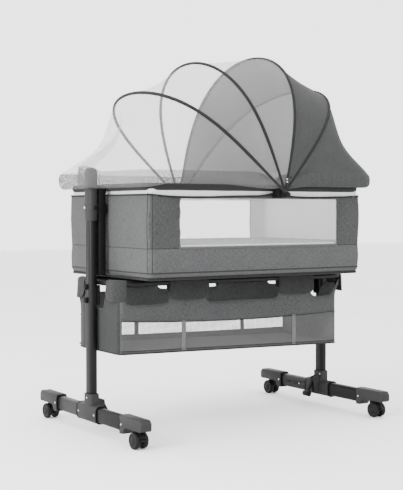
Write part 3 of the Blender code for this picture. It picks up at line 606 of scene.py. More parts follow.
def build_stands():
    grey_part, black_part = ("grey_plastic", "grey_plastic"), ("black_plastic", "black_plastic")
    coated_part = ("black_tube", "black_steel_tube")
    skins = {
        "t_joint": (*grey_part, 0.0014), "inner_tube": ("inner_steel", "inner_steel", 0.0),
        "pedal": (*black_part, 0.0010), "foot_tube": (*coated_part, 0.0003),
        "lock_pin": ("steel", "pin_steel", 0.0003), "post": (*coated_part, 0.0003),
        "post_sleeve": (*grey_part, 0.0007), "upright": (*black_part, 0.0010),
        "frame_bracket": (*black_part, 0.0010), "frame_bolts": (*black_part, 0.0007),
    }
    for end in ("front", "rear"):
        skins[f"{end}_foot_cap"] = (*grey_part, 0.0008)
        skins[f"{end}_caster_housing"] = (*black_part, 0.0008)
        skins[f"{end}_brake_lever"] = (*black_part, 0.0008)
    band_z = 0.6785
    for side, sx in (("left", -1), ("right", 1)):
        x = sx * POST_X
        for part, (mat, slot, bevel) in skins.items():
            refined(f"{side}_{part}", MAT[mat], bevel)
        for end, sy in (("front", -1), ("rear", 1)):
            build_caster(side, end)
            foot_end(side, end, sx, sy)
            spot = (x - sx * 0.0030, sy * 0.0232, band_z)
            domed_head(f"{side}_{end}_button", spot, (0, sy, 0), 0.0072, 0.0022, "black_plastic")
        spot = (x + sx * 0.0164, 0.0, 0.1060)
        domed_head(f"{side}_socket_rivet", spot, (sx, 0, 0), 0.0028, 0.0013, body=f"{side}_stand")
        spot = (x - sx * 0.0164, -0.0150, 0.1080)
        domed_head(f"{side}_socket_rivet_inner", spot, (-sx, 0, 0), 0.0024, 0.0013, body=f"{side}_stand")
        spot = (x + sx * 0.0167, 0.0095, band_z)
        domed_head(f"{side}_sleeve_rivet", spot, (sx, 0, 0), 0.0042, 0.0018)


# ---------------------------------------------------------------- sleeping box


def front_edge_z(x):
    """The lowered front edge, which sags between its corners and is pinched up at the canopy's hub."""
    end_top = BOX_HIGH.z - END_DROP
    left = 0.0052 * math.exp(-((x + 0.235) / 0.105) ** 2)
    right = 0.0030 * math.exp(-((x - 0.20) / 0.10) ** 2)
    pinch = 0.0090 * math.exp(-((x - 0.060) / 0.040) ** 2)
    corner = (end_top - FRONT_TOP - 0.0020) * step(0.335, 0.380, abs(x))
    return FRONT_TOP + 0.0020 - left - right + pinch + corner


def box_outline():
    """Points round the box, with extra ones on the windows' side edges."""
    loop = rounded(BOX_HALF[0], BOX_HALF[1], BOX_CORNER, 8, 0.012)
    out = [Vector((p.x, p.y)) for p in loop]
    for window, y in ((FRONT_WINDOW, -BOX_HALF[1]), (REAR_WINDOW, BOX_HALF[1])):
        for x in (window[0][0], window[1][0]):
            side = [p for p in out if abs(p.y - y) < 1e-5]
            near = min(side, key=lambda p: abs(p.x - x))
            near.x = x
    return out


def box_rows():
    low, top = BOX_LOW.z, BOX_HIGH.z
    window_top = FRONT_WINDOW[1][2]
    lower = [low + 0.0022, low + 0.006, low + 0.011, PIPING_Z, 0.500, 0.515, 0.530, 0.545, SEAM_Z]
    upper = [SEAM_Z + (window_top - SEAM_Z) * k / 10 for k in range(1, 11)]
    return lower + upper + [top]


def box_point(p, z, inset, outward):
    """A point of the box's wall: padded between its seams, rounded under, with the cloth's small ripples."""
    if abs(p.x) >= BOX_HALF[0] - 1e-4:
        normal = Vector((math.copysign(1, p.x), 0))
    elif abs(p.y) >= BOX_HALF[1] - 1e-4:
        normal = Vector((0, math.copysign(1, p.y)))
    else:
        centre = Vector((BOX_HALF[0] - BOX_CORNER, BOX_HALF[1] - BOX_CORNER))
        normal = (p - Vector((math.copysign(centre.x, p.x), math.copysign(centre.y, p.y)))).normalized()
    pad = 0.0
    if PIPING_Z < z < SEAM_Z:
        pad = 0.0022 * math.sin(math.pi * (z - PIPING_Z) / (SEAM_Z - PIPING_Z))
    elif z >= SEAM_Z and abs(p.x) > 0.32:
        pad = 0.0030 * math.sin(math.pi * (z - SEAM_Z) / (BOX_HIGH.z - SEAM_Z))
    under = 0.0060 * (1 - step(BOX_LOW.z, BOX_LOW.z + 0.011, z))
    ripple = wobble((p.x, p.y, z * 0.6), 16.0, 0.0016) + wobble((p.x, p.y, z), 55.0, 0.0006, 3.0)
    spot = p + normal * ((pad + ripple - 0.0004) * outward - under - inset)
    beside_post = 1 - 0.95 * math.exp(-((p.y / 0.045) ** 2))
    return Vector((spot.x + RIGHT_SWELL * step(0.325, 0.385, p.x) * beside_post, spot.y, z))


def top_of(p):
    """The height of the box's top edge at a point of its outline."""
    on_front = p.y < -BOX_HALF[1] + 0.004
    return front_edge_z(p.x) if on_front else BOX_HIGH.z - END_DROP


def box_shell():
    outline, rows = box_outline(), box_rows()
    grid = []
    for p in outline:
        top = top_of(p)
        heights = rows[:-1] + [top]
        window_top = rows[-2]
        column = [Vector((p.x * 0.05, p.y * 0.05, BOX_LOW.z)), Vector((p.x * 0.90, p.y * 0.90, BOX_LOW.z))]
        column += [box_point(p, min(z, top), 0.0, 1.0) for z in heights[:-1]]
        column.append(box_point(p, lerp(window_top, top, 0.7), 0.0, 1.0))
        column.append(box_point(p, top, LINER * 0.5, 1.0))
        column.append(box_point(p, lerp(window_top, top, 0.7), LINER, 0.4))
        column += [box_point(p, min(z, top), LINER, 0.4) for z in reversed(heights[:-1])][:-3]
        grid.append(column)
    outer = 2 + len(rows)

    def open_cell(centre, i, j):
        for window, sign in ((FRONT_WINDOW, -1), (REAR_WINDOW, 1)):
            in_x = window[0][0] + 1e-4 < centre.x < window[1][0] - 1e-4
            in_z = SEAM_Z + 1e-4 < centre.z < FRONT_WINDOW[1][2] - 1e-4
            if sign * centre.y > BOX_HALF[1] - 0.012 and in_x and in_z:
                return False
        return True

    def cloth(centre, i, j):
        if j > outer:
            return 1
        return 2 if centre.z > SEAM_Z and abs(centre.y) > BOX_HALF[1] - 0.006 else 0

    mats = [MAT["heather"], MAT["liner"], MAT["heather_deep"]]
    ob = surface("fabric_box_shell", grid, mats, closed=True, pick=cloth, keep=open_cell)
    put(ob, "bassinet", ["fabric_box"])
    return outline


def window(name, box, sign, node):
    """The see-through panel, a little slack, and the tape sewn round it."""
    (x0, _, z0), (x1, _, z1) = box
    y = sign * (BOX_HALF[1] - 0.0018)
    seam = 0.001
    columns, levels = 36, 10
    grid = []
    for i in range(columns + 1):
        x = lerp(x0 - seam, x1 + seam, i / columns)
        row = []
        for j in range(levels + 1):
            z = lerp(z0 - seam, z1 + seam, j / levels)
            slack = 0.0016 * math.sin(math.pi * i / columns) * math.sin(math.pi * j / levels)
            row.append((x, y - sign * (slack + wobble((x, 0, z), 20, 0.0007)), z))
        grid.append(row)
    net = surface(f"{name}_net", grid, [MAT["window"]])
    put(net, "bassinet", [node])
    loop = rounded((x1 - x0) / 2 + seam, (z1 - z0) / 2 + seam, 0.004, 4, 0.02)
    path = [((x0 + x1) / 2 + p.x, sign * (BOX_HALF[1] + 0.0002), (z0 + z1) / 2 + p.y) for p in loop]
    tape = tube(f"{name}_tape", path, 0.0034, MAT["heather"], True, 10, 0.34, (0, 0, 1))
    put(tape, "bassinet")


def liner_collar(outline):
    """The white lining where it rises out of the box to the rail that it hangs from."""
    grid = []
    for p in outline:
        low, high = top_of(p) - 0.012, RAIL_LOW.z + 0.008
        grid.append([box_point(p, lerp(low, high, k / 5), LINER + 0.0016, 0.3) for k in range(6)])
    ob = surface("liner_collar", grid, [MAT["liner"]], closed=True)
    put(ob, "bassinet")


def follow(outline, z, grow=0.0):
    """The outline of the box's wall at a height, pushed out by grow."""
    return [box_point(p, z, -grow, 1.0) for p in outline]


def build_box():
    outline = box_shell()
    window("front_window", FRONT_WINDOW, -1, "front_window_mesh")
    window("rear_window", REAR_WINDOW, 1, "rear_window_mesh")
    bottom = follow(outline, PIPING_Z, 0.0005)
    trim("box_bottom_piping", bottom, 0.0019, "heather_dark", closed=True, sides=8)
    trim("box_hem", follow(outline, BOX_LOW.z - 0.0022, -0.0010), 0.0044, closed=True, sides=8)
    trim("box_seam", follow(outline, SEAM_Z, 0.0001), 0.0009, "heather_dark", closed=True, sides=6)
    corner = Vector((BOX_HALF[0] - BOX_CORNER, BOX_HALF[1] - BOX_CORNER))
    for k, (cx, cy) in enumerate(((-1, -1), (1, -1), (-1, 1), (1, 1))):
        for turn, tag in ((18, "a"), (62, "b")):
            angle = math.radians(turn)
            spot = corner + Vector((math.cos(angle), math.sin(angle))) * BOX_CORNER
            p = Vector((spot.x * cx, spot.y * cy))
            levels = (PIPING_Z, 0.52, SEAM_Z, 0.60, 0.64, 0.68, BOX_HIGH.z - 0.002)
            path = [box_point(p, z, -0.0001, 1.0) for z in levels]
            trim(f"box_corner_seam_{k}{tag}", path, 0.0009, "heather_dark", sides=6)
    front = []
    for i in range(61):
        x = lerp(-0.362, 0.362, i / 60)
        front.append((x, -BOX_HALF[1] - 0.0012, front_edge_z(x) - 0.0030))
    trim("front_piping_roll", front, 0.0031, replaces=["front_piping"], sides=10)
    around = [p for p in outline if p.y > -BOX_HALF[1] + 0.004 or abs(p.x) > 0.360]
    begin = max(range(len(around)), key=lambda k: (around[k] - around[k - 1]).length)
    ends = [box_point(p, top_of(p) - 0.0030, -0.0004, 1.0) for p in around[begin:] + around[:begin]]
    trim("end_piping_roll", ends, 0.0024, sides=8)
    liner_collar(outline)
    rail = []
    for p in rounded(RAIL_HIGH.x - RAIL_R, RAIL_HIGH.y - RAIL_R, 0.036, 8, 0.02):
        z = RAIL_Z + RAIL_THINNER + wobble((p.x, p.y, 0), 12, 0.0006)
        rail.append((p.x + RIGHT_SWELL * step(0.20, 0.36, p.x), p.y, z))
    trim("top_rail_cover", rail, RAIL_R - RAIL_THINNER, "heather_dark", ["top_rail"], closed=True, sides=20)
    frame["nodes"]["base_board"].data.materials[0] = MAT["liner"]


def blown_up(pad, floor, ceiling):
    """Cloth simulation: the cover is blown up a little from inside, held between its floor and ceiling."""
    modified(pad, "REMESH", mode="VOXEL", voxel_size=0.006, use_smooth_shade=True)
    rest = [v.co.copy() for v in pad.data.vertices]
    cloth = pad.modifiers.new("cloth", "CLOTH")
    cloth.settings.use_pressure = True
    cloth.settings.uniform_pressure_force = 4.0
    cloth.settings.effector_weights.gravity = 0.0
    cloth.settings.quality = 4
    for number in range(1, 21):
        bpy.context.scene.frame_set(number)
    graph = bpy.context.evaluated_depsgraph_get()
    moved = [v.co.copy() for v in pad.evaluated_get(graph).data.vertices]
    pad.modifiers.clear()
    bpy.context.scene.frame_set(1)
    furthest = 0.0035
    for vertex, start, end in zip(pad.data.vertices, rest, moved):
        shift = end - start
        if shift.length > furthest:
            shift = shift.normalized() * furthest
        spot = start + shift
        vertex.co = (spot.x, spot.y, min(max(spot.z, floor), ceiling))


def mattress():
    """The pad in its quilted cover, piped along both edges."""
    low, high = (Vector(p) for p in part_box("mattress"))
    half = Vector((high.x - 0.004, high.y - 0.004))
    levels = [(0.016, low.z + 0.0008), (0.004, low.z + 0.006), (0.0, low.z + 0.016)]
    levels += [(0.0, high.z - 0.020), (0.004, high.z - 0.010), (0.016, high.z - 0.0045)]
    rings = []
    for inset, z in levels:
        loop = rounded(half.x - inset, half.y - inset, max(0.028 - inset * 0.5, 0.012), 6, 0.02)
        rings.append([(p.x, p.y, z) for p in loop])
    count = min(len(r) for r in rings)
    rings = [[ring[int(k * len(ring) / count)] for k in range(count)] for ring in rings]
    pad = rings_mesh("mattress_pad", rings, [MAT["cover"]])
    blown_up(pad, low.z + 0.0003, high.z - 0.0006)
    quilt = 0.064
    for vertex in pad.data.vertices:
        co = vertex.co
        dimple = math.sin(co.x * math.pi / quilt) * math.sin(co.y * math.pi / quilt)
        if co.z > high.z - 0.012:
            vertex.co.z -= 0.0012 * (1 - abs(dimple))
    cover = pad.data.uv_layers.get("UVMap") or pad.data.uv_layers.new(name="UVMap")
    for polygon in pad.data.polygons:
        polygon.use_smooth = True
        flat = abs(polygon.normal.z) > 0.6
        for index in polygon.loop_indices:
            co = pad.data.vertices[pad.data.loops[index].vertex_index].co
            cover.data[index].uv = (co.x, co.y) if flat else (co.x + co.y, co.z)
    put(pad, "bassinet", ["mattress"])
    for name, z, inset in (("upper", high.z - 0.011, 0.0020), ("lower", low.z + 0.006, 0.0030)):
        path = [(p.x, p.y, z) for p in rounded(half.x - inset, half.y - inset, 0.026, 6, 0.03)]
        piping = tube(f"mattress_{name}_piping", path, 0.0022, MAT["liner"], True, 8)
        put(piping, "bassinet")


# ---------------------------------------------------------------- storage basket


def basket_bottom(x):
    """The height of the basket's floor, which slopes down to the right."""
    return BASKET_FLOOR_Z + BASKET_SLOPE * x


def band_low(x):
    """The band's lower edge, which sags between the ends."""
    share = (x - BASKET_LEFT) / (BASKET_RIGHT - BASKET_LEFT)
    return BAND_LOW_Z + BAND_SLOPE * x - 0.0125 * max(math.sin(math.pi * share), 0.0) ** 0.8


def tab_share(x, y):
    """1 where the wall rises to a tab, 0 at the foot of a scallop, below 0 under a bracket."""
    if abs(y) <= BASKET_HALF_Y - 0.015:
        return -0.25 + 1.25 * step(END_TAB - 0.014, END_TAB + 0.008, abs(y))
    reach = min(x - BASKET_LEFT, BASKET_RIGHT - x) - 0.018
    for centre, half in FRONT_TABS if y < 0 else REAR_TABS:
        reach = min(reach, abs(x - centre) - half + 0.006)
    if reach <= 0:
        return 1.0
    near = 1 - min(reach / 0.024, 1.0)
    return 0.38 * (1 - math.sqrt(1 - near * near))


def wall_top(p):
    """The height of the basket's wall at a point of its outline: up to the frame at a tab, low between."""
    foot = SCALLOP_Z - 0.0040 if p.y < 0 else SCALLOP_Z + 0.0190
    return foot + (FRAME_Z - FRAME_R - 0.0006 - foot) * tab_share(p.x, p.y)


def basket_wall_point(p, z):
    """Cloth hung from the frame: it leans to the tube as it rises and bellies out a little below, and
    its left rear corner is drawn in."""
    lean = step(SCALLOP_Z, FRAME_Z - FRAME_R, z)
    x, y = p.x, p.y
    hung_at = FRAME_HIGH.x - FRAME_R - 0.002
    if p.x > BASKET_RIGHT - 0.02:
        x += (hung_at - BASKET_RIGHT) * lean
    if p.x < BASKET_LEFT + 0.02:
        x -= (hung_at + BASKET_LEFT) * lean
    tuck = step(0.33, 0.42, -p.x) * step(0.08, 0.13, p.y) * (1 - step(0.37, 0.44, z))
    x += 0.008 * tuck
    y -= 0.011 * tuck
    belly = 0.0
    if z < 0.39:
        belly = wobble((p.x, p.y, z), 9.0, 0.0030, 5.0) + wobble((p.x, p.y, z), 40.0, 0.0008, 7.0)
    if abs(p.y) > BASKET_HALF_Y - 1e-3:
        return Vector((x, y + math.copysign(belly, p.y), z))
    return Vector((x - math.copysign(abs(belly) * 0.4, p.x), y, z))


def basket_outline():
    half = ((BASKET_RIGHT - BASKET_LEFT) / 2, BASKET_HALF_Y)
    middle = (BASKET_RIGHT + BASKET_LEFT) / 2
    return [Vector((p.x + middle, p.y)) for p in rounded(half[0], half[1], 0.016, 4, 0.0042)]


def basket_shell():
    outline = basket_outline()
    middle = Vector(((BASKET_LEFT + BASKET_RIGHT) / 2, 0))
    grid = []
    for p in outline:
        top = wall_top(p)
        low, band = basket_bottom(p.x), band_low(p.x)
        floor = middle + (p - middle) * 0.98
        heights = [low + 0.0020, low + 0.007, low + 0.012]
        heights += [lerp(low + 0.012, band, k / 5) for k in range(1, 6)]
        heights += [lerp(band, top, k / 6) for k in range(1, 7)]
        core = middle + (p - middle) * 0.04
        column = [Vector((core.x, core.y, basket_bottom(core.x))), Vector((floor.x, floor.y, low))]
        column += [basket_wall_point(p, z) for z in heights]
        grid.append(column)

    def solid(centre, i, j):
        on_side = abs(centre.y) > BASKET_HALF_Y - 0.0055
        inside = BASKET_LEFT + 0.009 < centre.x < BASKET_RIGHT - 0.012
        lowest = 5 if centre.y > 0 else 4
        return not (on_side and inside and lowest <= j < 9)

    def cloth(centre, i, j):
        # The ends take the darker copy of the cloth: painted shade.
        return 2 if abs(centre.y) < BASKET_HALF_Y - 0.004 else 0

    heart = Vector((*middle, 0.34))
    mats = [MAT["basket"], MAT["basket_lining_painted_light"], MAT["basket_painted_shade"], MAT["basket_lining_painted_light"]]
    ob = surface("basket_shell", grid, mats, closed=True, pick=cloth, keep=solid, inside=heart)
    # The inner side takes the next material, the lighter lining with its painted light.
    modified(ob, "SOLIDIFY", thickness=0.0012, offset=-1.0, material_offset=1)
    put(ob, "bassinet", ["storage_basket"])
    rim = [basket_wall_point(p, wall_top(p) - 0.0012) for p in outline]
    put(tube("basket_rim_binding", rim, 0.0016, MAT["basket"], True, 8, 0.8), "bassinet")
    hem = [basket_wall_point(p, basket_bottom(p.x) + 0.0028) for p in outline]
    trim("basket_bottom_piping", hem, 0.0024, closed=True, sides=8)


def side_path(sign, outline_z, x0, x1, count, proud):
    points = []
    for i in range(count + 1):
        x = lerp(x0, x1, i / count)
        spot = basket_wall_point(Vector((x, sign * BASKET_HALF_Y)), outline_z(x))
        points.append((spot.x, spot.y + sign * proud, spot.z))
    return points


def basket_side(sign, end, node):
    """The mesh panel of a long side, its upper and lower seams and the webbing sewn across it."""
    x0, x1 = BASKET_LEFT + 0.005, BASKET_RIGHT - 0.008
    columns, levels = 72, 8
    grid = []
    for i in range(columns + 1):
        x = lerp(x0, x1, i / columns)
        low, high = basket_bottom(x) + 0.010, band_low(x) + 0.002
        row = []
        for j in range(levels + 1):
            z = lerp(low, high, j / levels)
            spot = basket_wall_point(Vector((x, sign * BASKET_HALF_Y)), z)
            row.append((spot.x, spot.y - sign * 0.0007, spot.z))
        grid.append(row)
    net = surface(f"basket_{end}_net", grid, [MAT["basket_net"]])
    put(net, "bassinet", [node])
    for tag, level in (("upper", band_low), ("lower", lambda x: basket_bottom(x) + 0.011)):
        path = side_path(sign, level, x0, x1, 60, 0.0004)
        trim(f"basket_{end}_{tag}_seam", path, 0.0012, "heather_dark", sides=6)
    for k, x in enumerate((-0.206, 0.2145)):
        strip = []
        for i in range(levels + 1):
            z = lerp(basket_bottom(x) + 0.006, band_low(x) + 0.004, i / levels)
            spot = basket_wall_point(Vector((x, sign * BASKET_HALF_Y)), z)
            strip.append((spot.x, spot.y + sign * 0.0009, spot.z))
        name = f"basket_{end}_webbing_{k}"
        web = tube(name, strip, 0.0080, MAT["webbing"], sides=12, flat=0.09, side_hint=(1, 0, 0))
        put(web, "bassinet")


def flap(name, line, bulge=0.0):
    """A tab of the basket's cloth folded over the frame, in the darker copy of the cloth that paints shade on
    it: up inside, over the tube, and down outside.
    line runs along the tube's centre as (point, outward direction) pairs."""
    grid = []
    for i, (point, out_dir) in enumerate(line):
        u = 2 * i / (len(line) - 1) - 1
        drop = 0.0350 + 0.0190 * math.sqrt(1 - abs(u) ** 6)
        section = [(-FRAME_R - 0.0016, -drop * 0.62), (-FRAME_R - 0.0014, -drop * 0.3)]
        for a in range(180, -1, -15):
            angle = math.radians(a)
            section.append((math.cos(angle) * (FRAME_R + 0.0016), math.sin(angle) * (FRAME_R + 0.0016)))
        for k in range(1, 7):
            section.append((FRAME_R + 0.0017 + 0.0005 * k + bulge * math.sin(k / 6 * 2.6), -drop * k / 6))
        row = []
        for out, up in section:
            ripple = 0.0007 * math.sin(i * 0.9 + up * 40) if up < -0.004 else 0.0
            row.append(Vector((*(point + out_dir * (out + ripple)), FRAME_Z + up)))
        grid.append(row)
    ob = surface(name, grid, [MAT["basket_painted_shade"]])
    modified(ob, "SOLIDIFY", thickness=0.0009, offset=0.0)
    modified(ob, "SUBSURF", levels=1, render_levels=1)
    return put(ob, "bassinet")


def corner_line(sx, sy, radius):
    """The frame's centre line from an end, round a corner, to a long side, with its outward directions."""
    cx, cy = FRAME_HIGH.x - FRAME_R - radius, FRAME_HIGH.y - FRAME_R - radius
    line = []
    for y in (END_TAB + 0.010, END_TAB + 0.022, END_TAB + 0.034):
        line.append((Vector((sx * (cx + radius), sy * y)), Vector((sx, 0.0))))
    for k in range(9):
        angle = math.radians(64 * k / 8)
        out = Vector((math.cos(angle), math.sin(angle)))
        spot = Vector((cx, cy)) + out * radius
        line.append((Vector((sx * spot.x, sy * spot.y)), Vector((sx * out.x, sy * out.y))))
    return line


def build_basket():
    middle_x, middle_y = FRAME_HIGH.x - FRAME_R, FRAME_HIGH.y - FRAME_R
    outline = [(p.x, p.y, FRAME_Z) for p in rounded(middle_x, middle_y, FRAME_CORNER, 8, 0.03)]
    frame_tube = tube("basket_frame_tube", outline, FRAME_R + 0.0005, MAT["black_tube"], True, 18)
    put(frame_tube, "bassinet", ["basket_frame"])
    basket_shell()
    basket_side(-1, "front", "basket_mesh_front")
    basket_side(1, "rear", "basket_mesh_rear")
    for sy, end, tabs in ((-1, "front", FRONT_TABS), (1, "rear", REAR_TABS)):
        for k, (centre, half) in enumerate(tabs):
            line = []
            for i in range(25):
                x = lerp(centre - half, centre + half, i / 24)
                line.append((Vector((x, sy * middle_y)), Vector((0.0, sy))))
            flap(f"basket_{end}_flap_{k}", line, 0.0010)
        for sx, side in ((-1, "left"), (1, "right")):
            flap(f"basket_{end}_{side}_flap", corner_line(sx, sy, FRAME_CORNER))
    frame["nodes"]["basket_floor"].data.materials[0] = MAT["basket_floor"]


# ---------------------------------------------------------------- canopy


def bow(name):
    """A hoop's line from its front foot to its rear foot, in the tilted plane that holds the hub's axis."""
    tilt, reach, power, taper = HOOPS[name]
    half = HUB_Y + HUB_STEP * (len(HOOPS) - 1 - HOOP_NAMES.index(name))
    a = math.radians(tilt)
    steps = 240
    front = []
    for i in range(steps + 1):
        rise = math.sin(math.pi / 2 * i / steps)
        v = -half * math.sqrt(max(0.0, 1 - rise ** power)) * (1 - taper * rise)
        front.append(Vector((HUB.x + rise * reach * math.cos(a), v, HUB.z + rise * reach * math.sin(a))))
    return front + [Vector((p.x, -p.y, p.z)) for p in reversed(front[:-1])]


def spread(line, count, start=0.0):
    """Points spaced evenly along a line, from a share of its length to the same share before its end."""
    reached = [0.0]
    for a, b in zip(line, line[1:]):
        reached.append(reached[-1] + (b - a).length)
    points = []
    k = 0
    for i in range(count + 1):
        at = reached[-1] * (start + (1 - 2 * start) * i / count)
        while k < len(line) - 2 and reached[k + 1] < at:
            k += 1
        points.append(line[k].lerp(line[k + 1], (at - reached[k]) / (reached[k + 1] - reached[k])))
    return points


def hoop_channel(name):
    """The dark sewn channel round a hoop's wire: an oval that is broad across the hoop's plane."""
    tilt = math.radians(HOOPS[name][0])
    across = (math.sin(tilt), 0, -math.cos(tilt))
    path = spread(bow(name), 140, 0.009)

    def breadth(share):
        return lerp(0.0042, 0.0055, step(0.02, 0.14, min(share, 1 - share)))

    ob = tube(f"{name}_channel", path, breadth, MAT["hoop"], sides=12, flat=0.75, side_hint=across)
    return put(ob, BODY_OF[name], [name])


def hoop_lug(name, number, y):
    """The flat round end of a hoop, on the hub's pin."""
    rings = []
    half = [(0.0027, 0.0032), (0.0027, 0.0078), (0.0019, 0.0086)]
    for along, r in [(-along, r) for along, r in half] + half[::-1]:
        rings.append([
            (HUB.x + r * math.cos(a), y + along, HUB.z + r * math.sin(a))
            for a in turns(28)
        ])
    lug = rings_mesh(f"{name}_lug_{number}", rings, [MAT["black_plastic"]], loop=True)
    return put(lug, BODY_OF[name])


def build_hoops():
    for name in HOOP_NAMES:
        hoop_channel(name)
        line = bow(name)
        for number, end in enumerate((line[0], line[-1])):
            hoop_lug(name, number, end.y)
    for end, sy in (("front", -1), ("rear", 1)):
        refined(f"canopy_hub_{end}", MAT["black_plastic"], 0.0008)
        for number, rise in enumerate((0.0385, 0.0465)):
            spot = (HUB.x + 0.006, sy * 0.3030, HUB.z + rise)
            domed_head(f"canopy_snap_{end}_{number}", spot, (0, sy, 0), 0.0026, 0.0022)


def rim_crossing(name):
    """Where a hoop crosses the rim's height, as an x."""
    return HUB.x + (RIM_TOP - HUB.z) / math.tan(math.radians(HOOPS[name][0]))


def rim_point(side, start, share, z, grow=0.0):
    """A point on the rim's outline from x = start at the front, round one end, to x = start at the rear."""
    hx, hy, r = RIM_HALF[0] + grow, RIM_HALF[1] + grow, RIM_CORNER[side] + grow
    straight = hx - side * start - r
    arc = math.pi / 2 * r
    total = 2 * straight + 2 * arc + 2 * (hy - r)
    d = share * total
    mirror = -1.0
    if d > total / 2:
        d, mirror = total - d, 1.0
    if d < straight:
        x, y = start + side * d, hy
    elif d < straight + arc:
        angle = (d - straight) / r
        x, y = side * (hx - r + r * math.sin(angle)), hy - r + r * math.cos(angle)
    else:
        y = hy - r - (d - straight - arc)
        over_post = 1 - step(0.024, 0.046, y)
        x = side * (hx + over_post * END_BUMP[side])
        z += over_post * 0.017 * step(RIM_TOP - 0.02, RIM_TOP, z)
    return Vector((x, mirror * y, z))


def rim_length(side, start):
    straight = RIM_HALF[0] - side * start - RIM_CORNER[side]
    return 2 * straight + math.pi * RIM_CORNER[side] + 2 * (RIM_HALF[1] - RIM_CORNER[side])


def cut_width(row):
    """The length of cloth along one row of its points."""
    return sum((b - a).length for a, b in zip(row, row[1:]))


def fan(name, first, second, sag, mat, slot, bodies, node, wrinkle):
    """The cloth between two hoops: drawn tight to both, with a slight sag and small pulls between them."""
    cells, columns = 80, 18
    grid = []
    edges = zip(spread(bow(first), cells, PANEL_FOOT), spread(bow(second), cells, PANEL_FOOT))
    for i, (a, b) in enumerate(edges):
        share = i / cells
        span = (b - a).length
        row = []
        for k in range(columns + 1):
            s = k / columns
            point = a.lerp(b, s)
            inward = (Vector((HUB.x, point.y * 0.55, HUB.z)) - point).normalized()
            arch = 4 * s * (1 - s)
            pull = wobble((share * 9, s * 1.2, 0), 1.6, wrinkle * span, 11.0) * arch
            row.append(point + inward * (sag * span * arch + pull))
        grid.append(row)
    ob = surface(name, grid, [mat], inside=HUB)
    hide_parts(node)
    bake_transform(ob)


def end_sheet(name, side, hoop, profile, mat, wrinkle):
    """The cloth from an end hoop down to the rim. profile(s) is how far it hangs in, as a share of its
    span."""
    start = rim_crossing(hoop)
    cells, columns = 120, 24
    grid = []
    for i, a in enumerate(spread(bow(hoop), cells, PANEL_FOOT)):
        share = i / cells
        b = rim_point(side, start, share, RIM_TOP, -0.001)
        span = (b - a).length
        row = []
        for k in range(columns + 1):
            s = k / columns
            point = a.lerp(b, s)
            inward = Vector((HUB.x + side * 0.05, point.y * 0.75, RIM_TOP)) - point
            inward.normalize()
            arch = 4 * s * (1 - s)
            pull = wobble((share * 13, s * 0.8, 0), 1.7, wrinkle * span, 23.0) * arch
            row.append(point + inward * (profile(s) * span + pull))
        grid.append(row)
    ob = surface(name, grid, [mat], inside=HUB)
    width = max(cut_width(row) for row in grid)
    return ob, width, rim_length(side, start)


def net_hem(x):
    """How far the net's skirt reaches down: over the rail at its end and at the hub, higher between them."""
    return 0.0385 + 0.0115 * step(-0.33, -0.43, x) + 0.0120 * step(-0.17, 0.02, x)


def hood_hem(x):
    """How far the hood's skirt reaches down: lower by the hub."""
    return 0.0430 + 0.0075 * (1 - step(0.07, 0.16, x))


def skirt(name, side, start, mat, body, gathers, depth, hem):
    """The elastic skirt over the rail: a soft roll that hangs outside and is drawn in under the rail.
    hem gives the depth of its lower edge at an x."""
    section = [(-0.0010, 0.0), (0.0022, -0.004), (0.0045, -0.011), (0.0052, -0.019), (0.0045, -0.028)]
    section += [(0.0020, -0.036), (-0.0030, -0.041), (-0.0110, -0.0432), (-0.0200, -0.0425)]
    total = rim_length(side, start)
    count = int(total / 0.0045)
    grid = []
    for i in range(count + 1):
        share = i / count
        s = share * total
        row = []
        reach = hem(rim_point(side, start, share, RIM_TOP).x) / 0.0432
        for k, (grow, drop) in enumerate(section):
            z = RIM_TOP + drop * reach
            amount = depth * math.sin(math.pi * min(1.0, k / 5)) if k < 6 else depth * 0.8
            ruffle = math.sin(s * gathers + 2.2 * math.sin(s * gathers * 0.23)) * amount
            puff = wobble((s * 3.0, k * 0.2, 0), 1.0, 0.0035, 31.0) if 0 < k < 7 else 0.0
            spot = rim_point(side, start, share, z)
            ahead = rim_point(side, start, min(1.0, share + 0.002), z)
            behind = rim_point(side, start, max(0.0, share - 0.002), z)
            tangent = ahead - behind
            outward = Vector((tangent.y, -tangent.x, 0)).normalized()
            if outward.dot(spot) < 0:
                outward = -outward
            row.append(spot + outward * (grow + ruffle + puff))
        grid.append(row)
    ob = surface(name, grid, [mat], inside=HUB)
    put(ob, body)
    return ob


def net_profile(s):
    return 0.16 * math.sin(math.pi * s) ** 1.2 * (0.55 + 0.75 * s)


def hood_profile(s):
    return 0.10 * math.sin(math.pi * s) ** 1.3 * (0.5 + 0.8 * s)


def hood_end(hoop):
    """The hood's end panel, from its hoop at one edge down to the rim at the other."""
    hood, width, length = end_sheet("hood_end_panel", 1, hoop, hood_profile, MAT["hood"], 0.012)
    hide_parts("canopy_hood_end")
    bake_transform(hood)
    skirt("hood_skirt", 1, 0.068, MAT["hood"], "bassinet", 260.0, 0.0007, hood_hem)


def net_end(hoop):
    """The net's end panel and skirt, which ride on the first hoop and lift off the rim with it."""
    net, width, length = end_sheet("net_end_panel", -1, hoop, net_profile, MAT["net"], 0.020)
    put(net, "hoop_1", ["canopy_net_end"])
    edge = skirt("net_skirt", -1, 0.062, MAT["skirt_net_painted_shade"], "hoop_1", 380.0, 0.0011, net_hem)
    for piece in (net, edge):
        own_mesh(piece)


def build_canopy():
    one, two, three, four = HOOP_NAMES
    net, hood = (MAT["net"], "net"), (MAT["hood"], "hood_fabric")
    fan("net_panel_1_2", two, one, 0.06, *net, ("hoop_2", "hoop_1"), "canopy_net_1_2", 0.018)
    fan("net_panel_2_3", three, two, 0.02, *net, ("hoop_3", "hoop_2"), "canopy_net_2_3", 0.014)
    fan("hood_panel_3_4", four, three, 0.035, *hood, ("hoop_4", "hoop_3"), "canopy_hood_3_4", 0.010)
    hood_end(four)
    net_end(one)


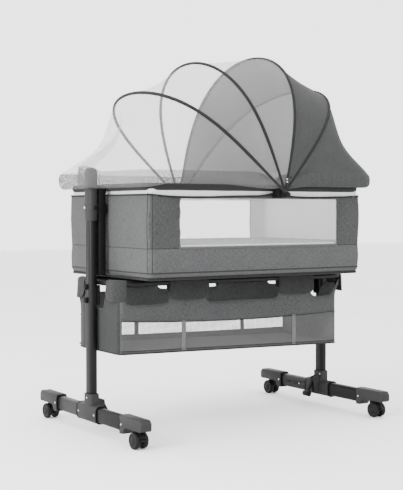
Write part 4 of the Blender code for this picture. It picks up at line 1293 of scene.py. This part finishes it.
# ---------------------------------------------------------------- stage, light and camera


def build_stage():
    floor = bpy.data.meshes.new("floor")
    half = 14.0
    corners = [(x * half, y * half, 0) for x, y in ((-1, -1), (1, -1), (1, 1), (-1, 1))]
    floor.from_pydata(corners, [], [(0, 1, 2, 3)])
    s = Shader("pale_floor", 0.75, specular=0.15)
    clouds = s.noise(s.scaled("Object", (1, 1, 1)), 1.5, 2.0)
    s.colour(s.ramp(clouds, [(0.2, grey(0.80)), (0.8, grey(0.84))]))
    floor.materials.append(s.mat)
    ob = added("floor", floor)
    ob.location.z = -0.0004
    world = bpy.data.worlds.new("studio")
    world.use_nodes = True
    sky = world.node_tree.nodes["Background"]
    sky.inputs["Color"].default_value = (1.0, 1.0, 1.0, 1.0)
    sky.inputs["Strength"].default_value = 3.2
    bpy.context.scene.world = world


def area_light(name, place, target, size, power):
    data = bpy.data.lights.new(name, "AREA")
    data.shape = "RECTANGLE"
    data.size, data.size_y = size
    data.energy = power
    ob = added(name, data)
    ob.location = place
    ob.rotation_euler = (Vector(target) - Vector(place)).to_track_quat("-Z", "Y").to_euler()


def build_camera():
    """The camera that was fitted to the photo: focal length in pixels of its longer side, place and turn."""
    focal, longer_side = 1109.0, 490.0
    data = bpy.data.cameras.new("camera")
    data.sensor_width = 36.0
    data.lens = 36.0 * focal / longer_side
    data.clip_start = 0.1
    ob = added("camera", data)
    yaw, pitch = math.radians(33.2145), math.radians(-1.8093)
    look = Vector((math.sin(yaw) * math.cos(pitch), math.cos(yaw) * math.cos(pitch), math.sin(pitch)))
    ob.location = (-1.9941, -2.9722, 0.6715)
    ob.rotation_euler = look.to_track_quat("-Z", "Y").to_euler()
    bpy.context.scene.camera = ob


def main():
    build_stands()
    build_box()
    mattress()
    build_basket()
    build_hoops()
    build_canopy()
    build_stage()
    area_light("key", (-4.2, -0.9, 1.9), (0.0, 0.0, 0.6), (2.4, 2.0), 340)
    area_light("fill", (1.6, -3.6, 1.5), (0.0, 0.0, 0.5), (2.5, 2.0), 25)
    area_light("top", (-0.4, 0.4, 3.4), (0.0, 0.0, 0.6), (2.5, 2.5), 35)
    build_camera()


main()
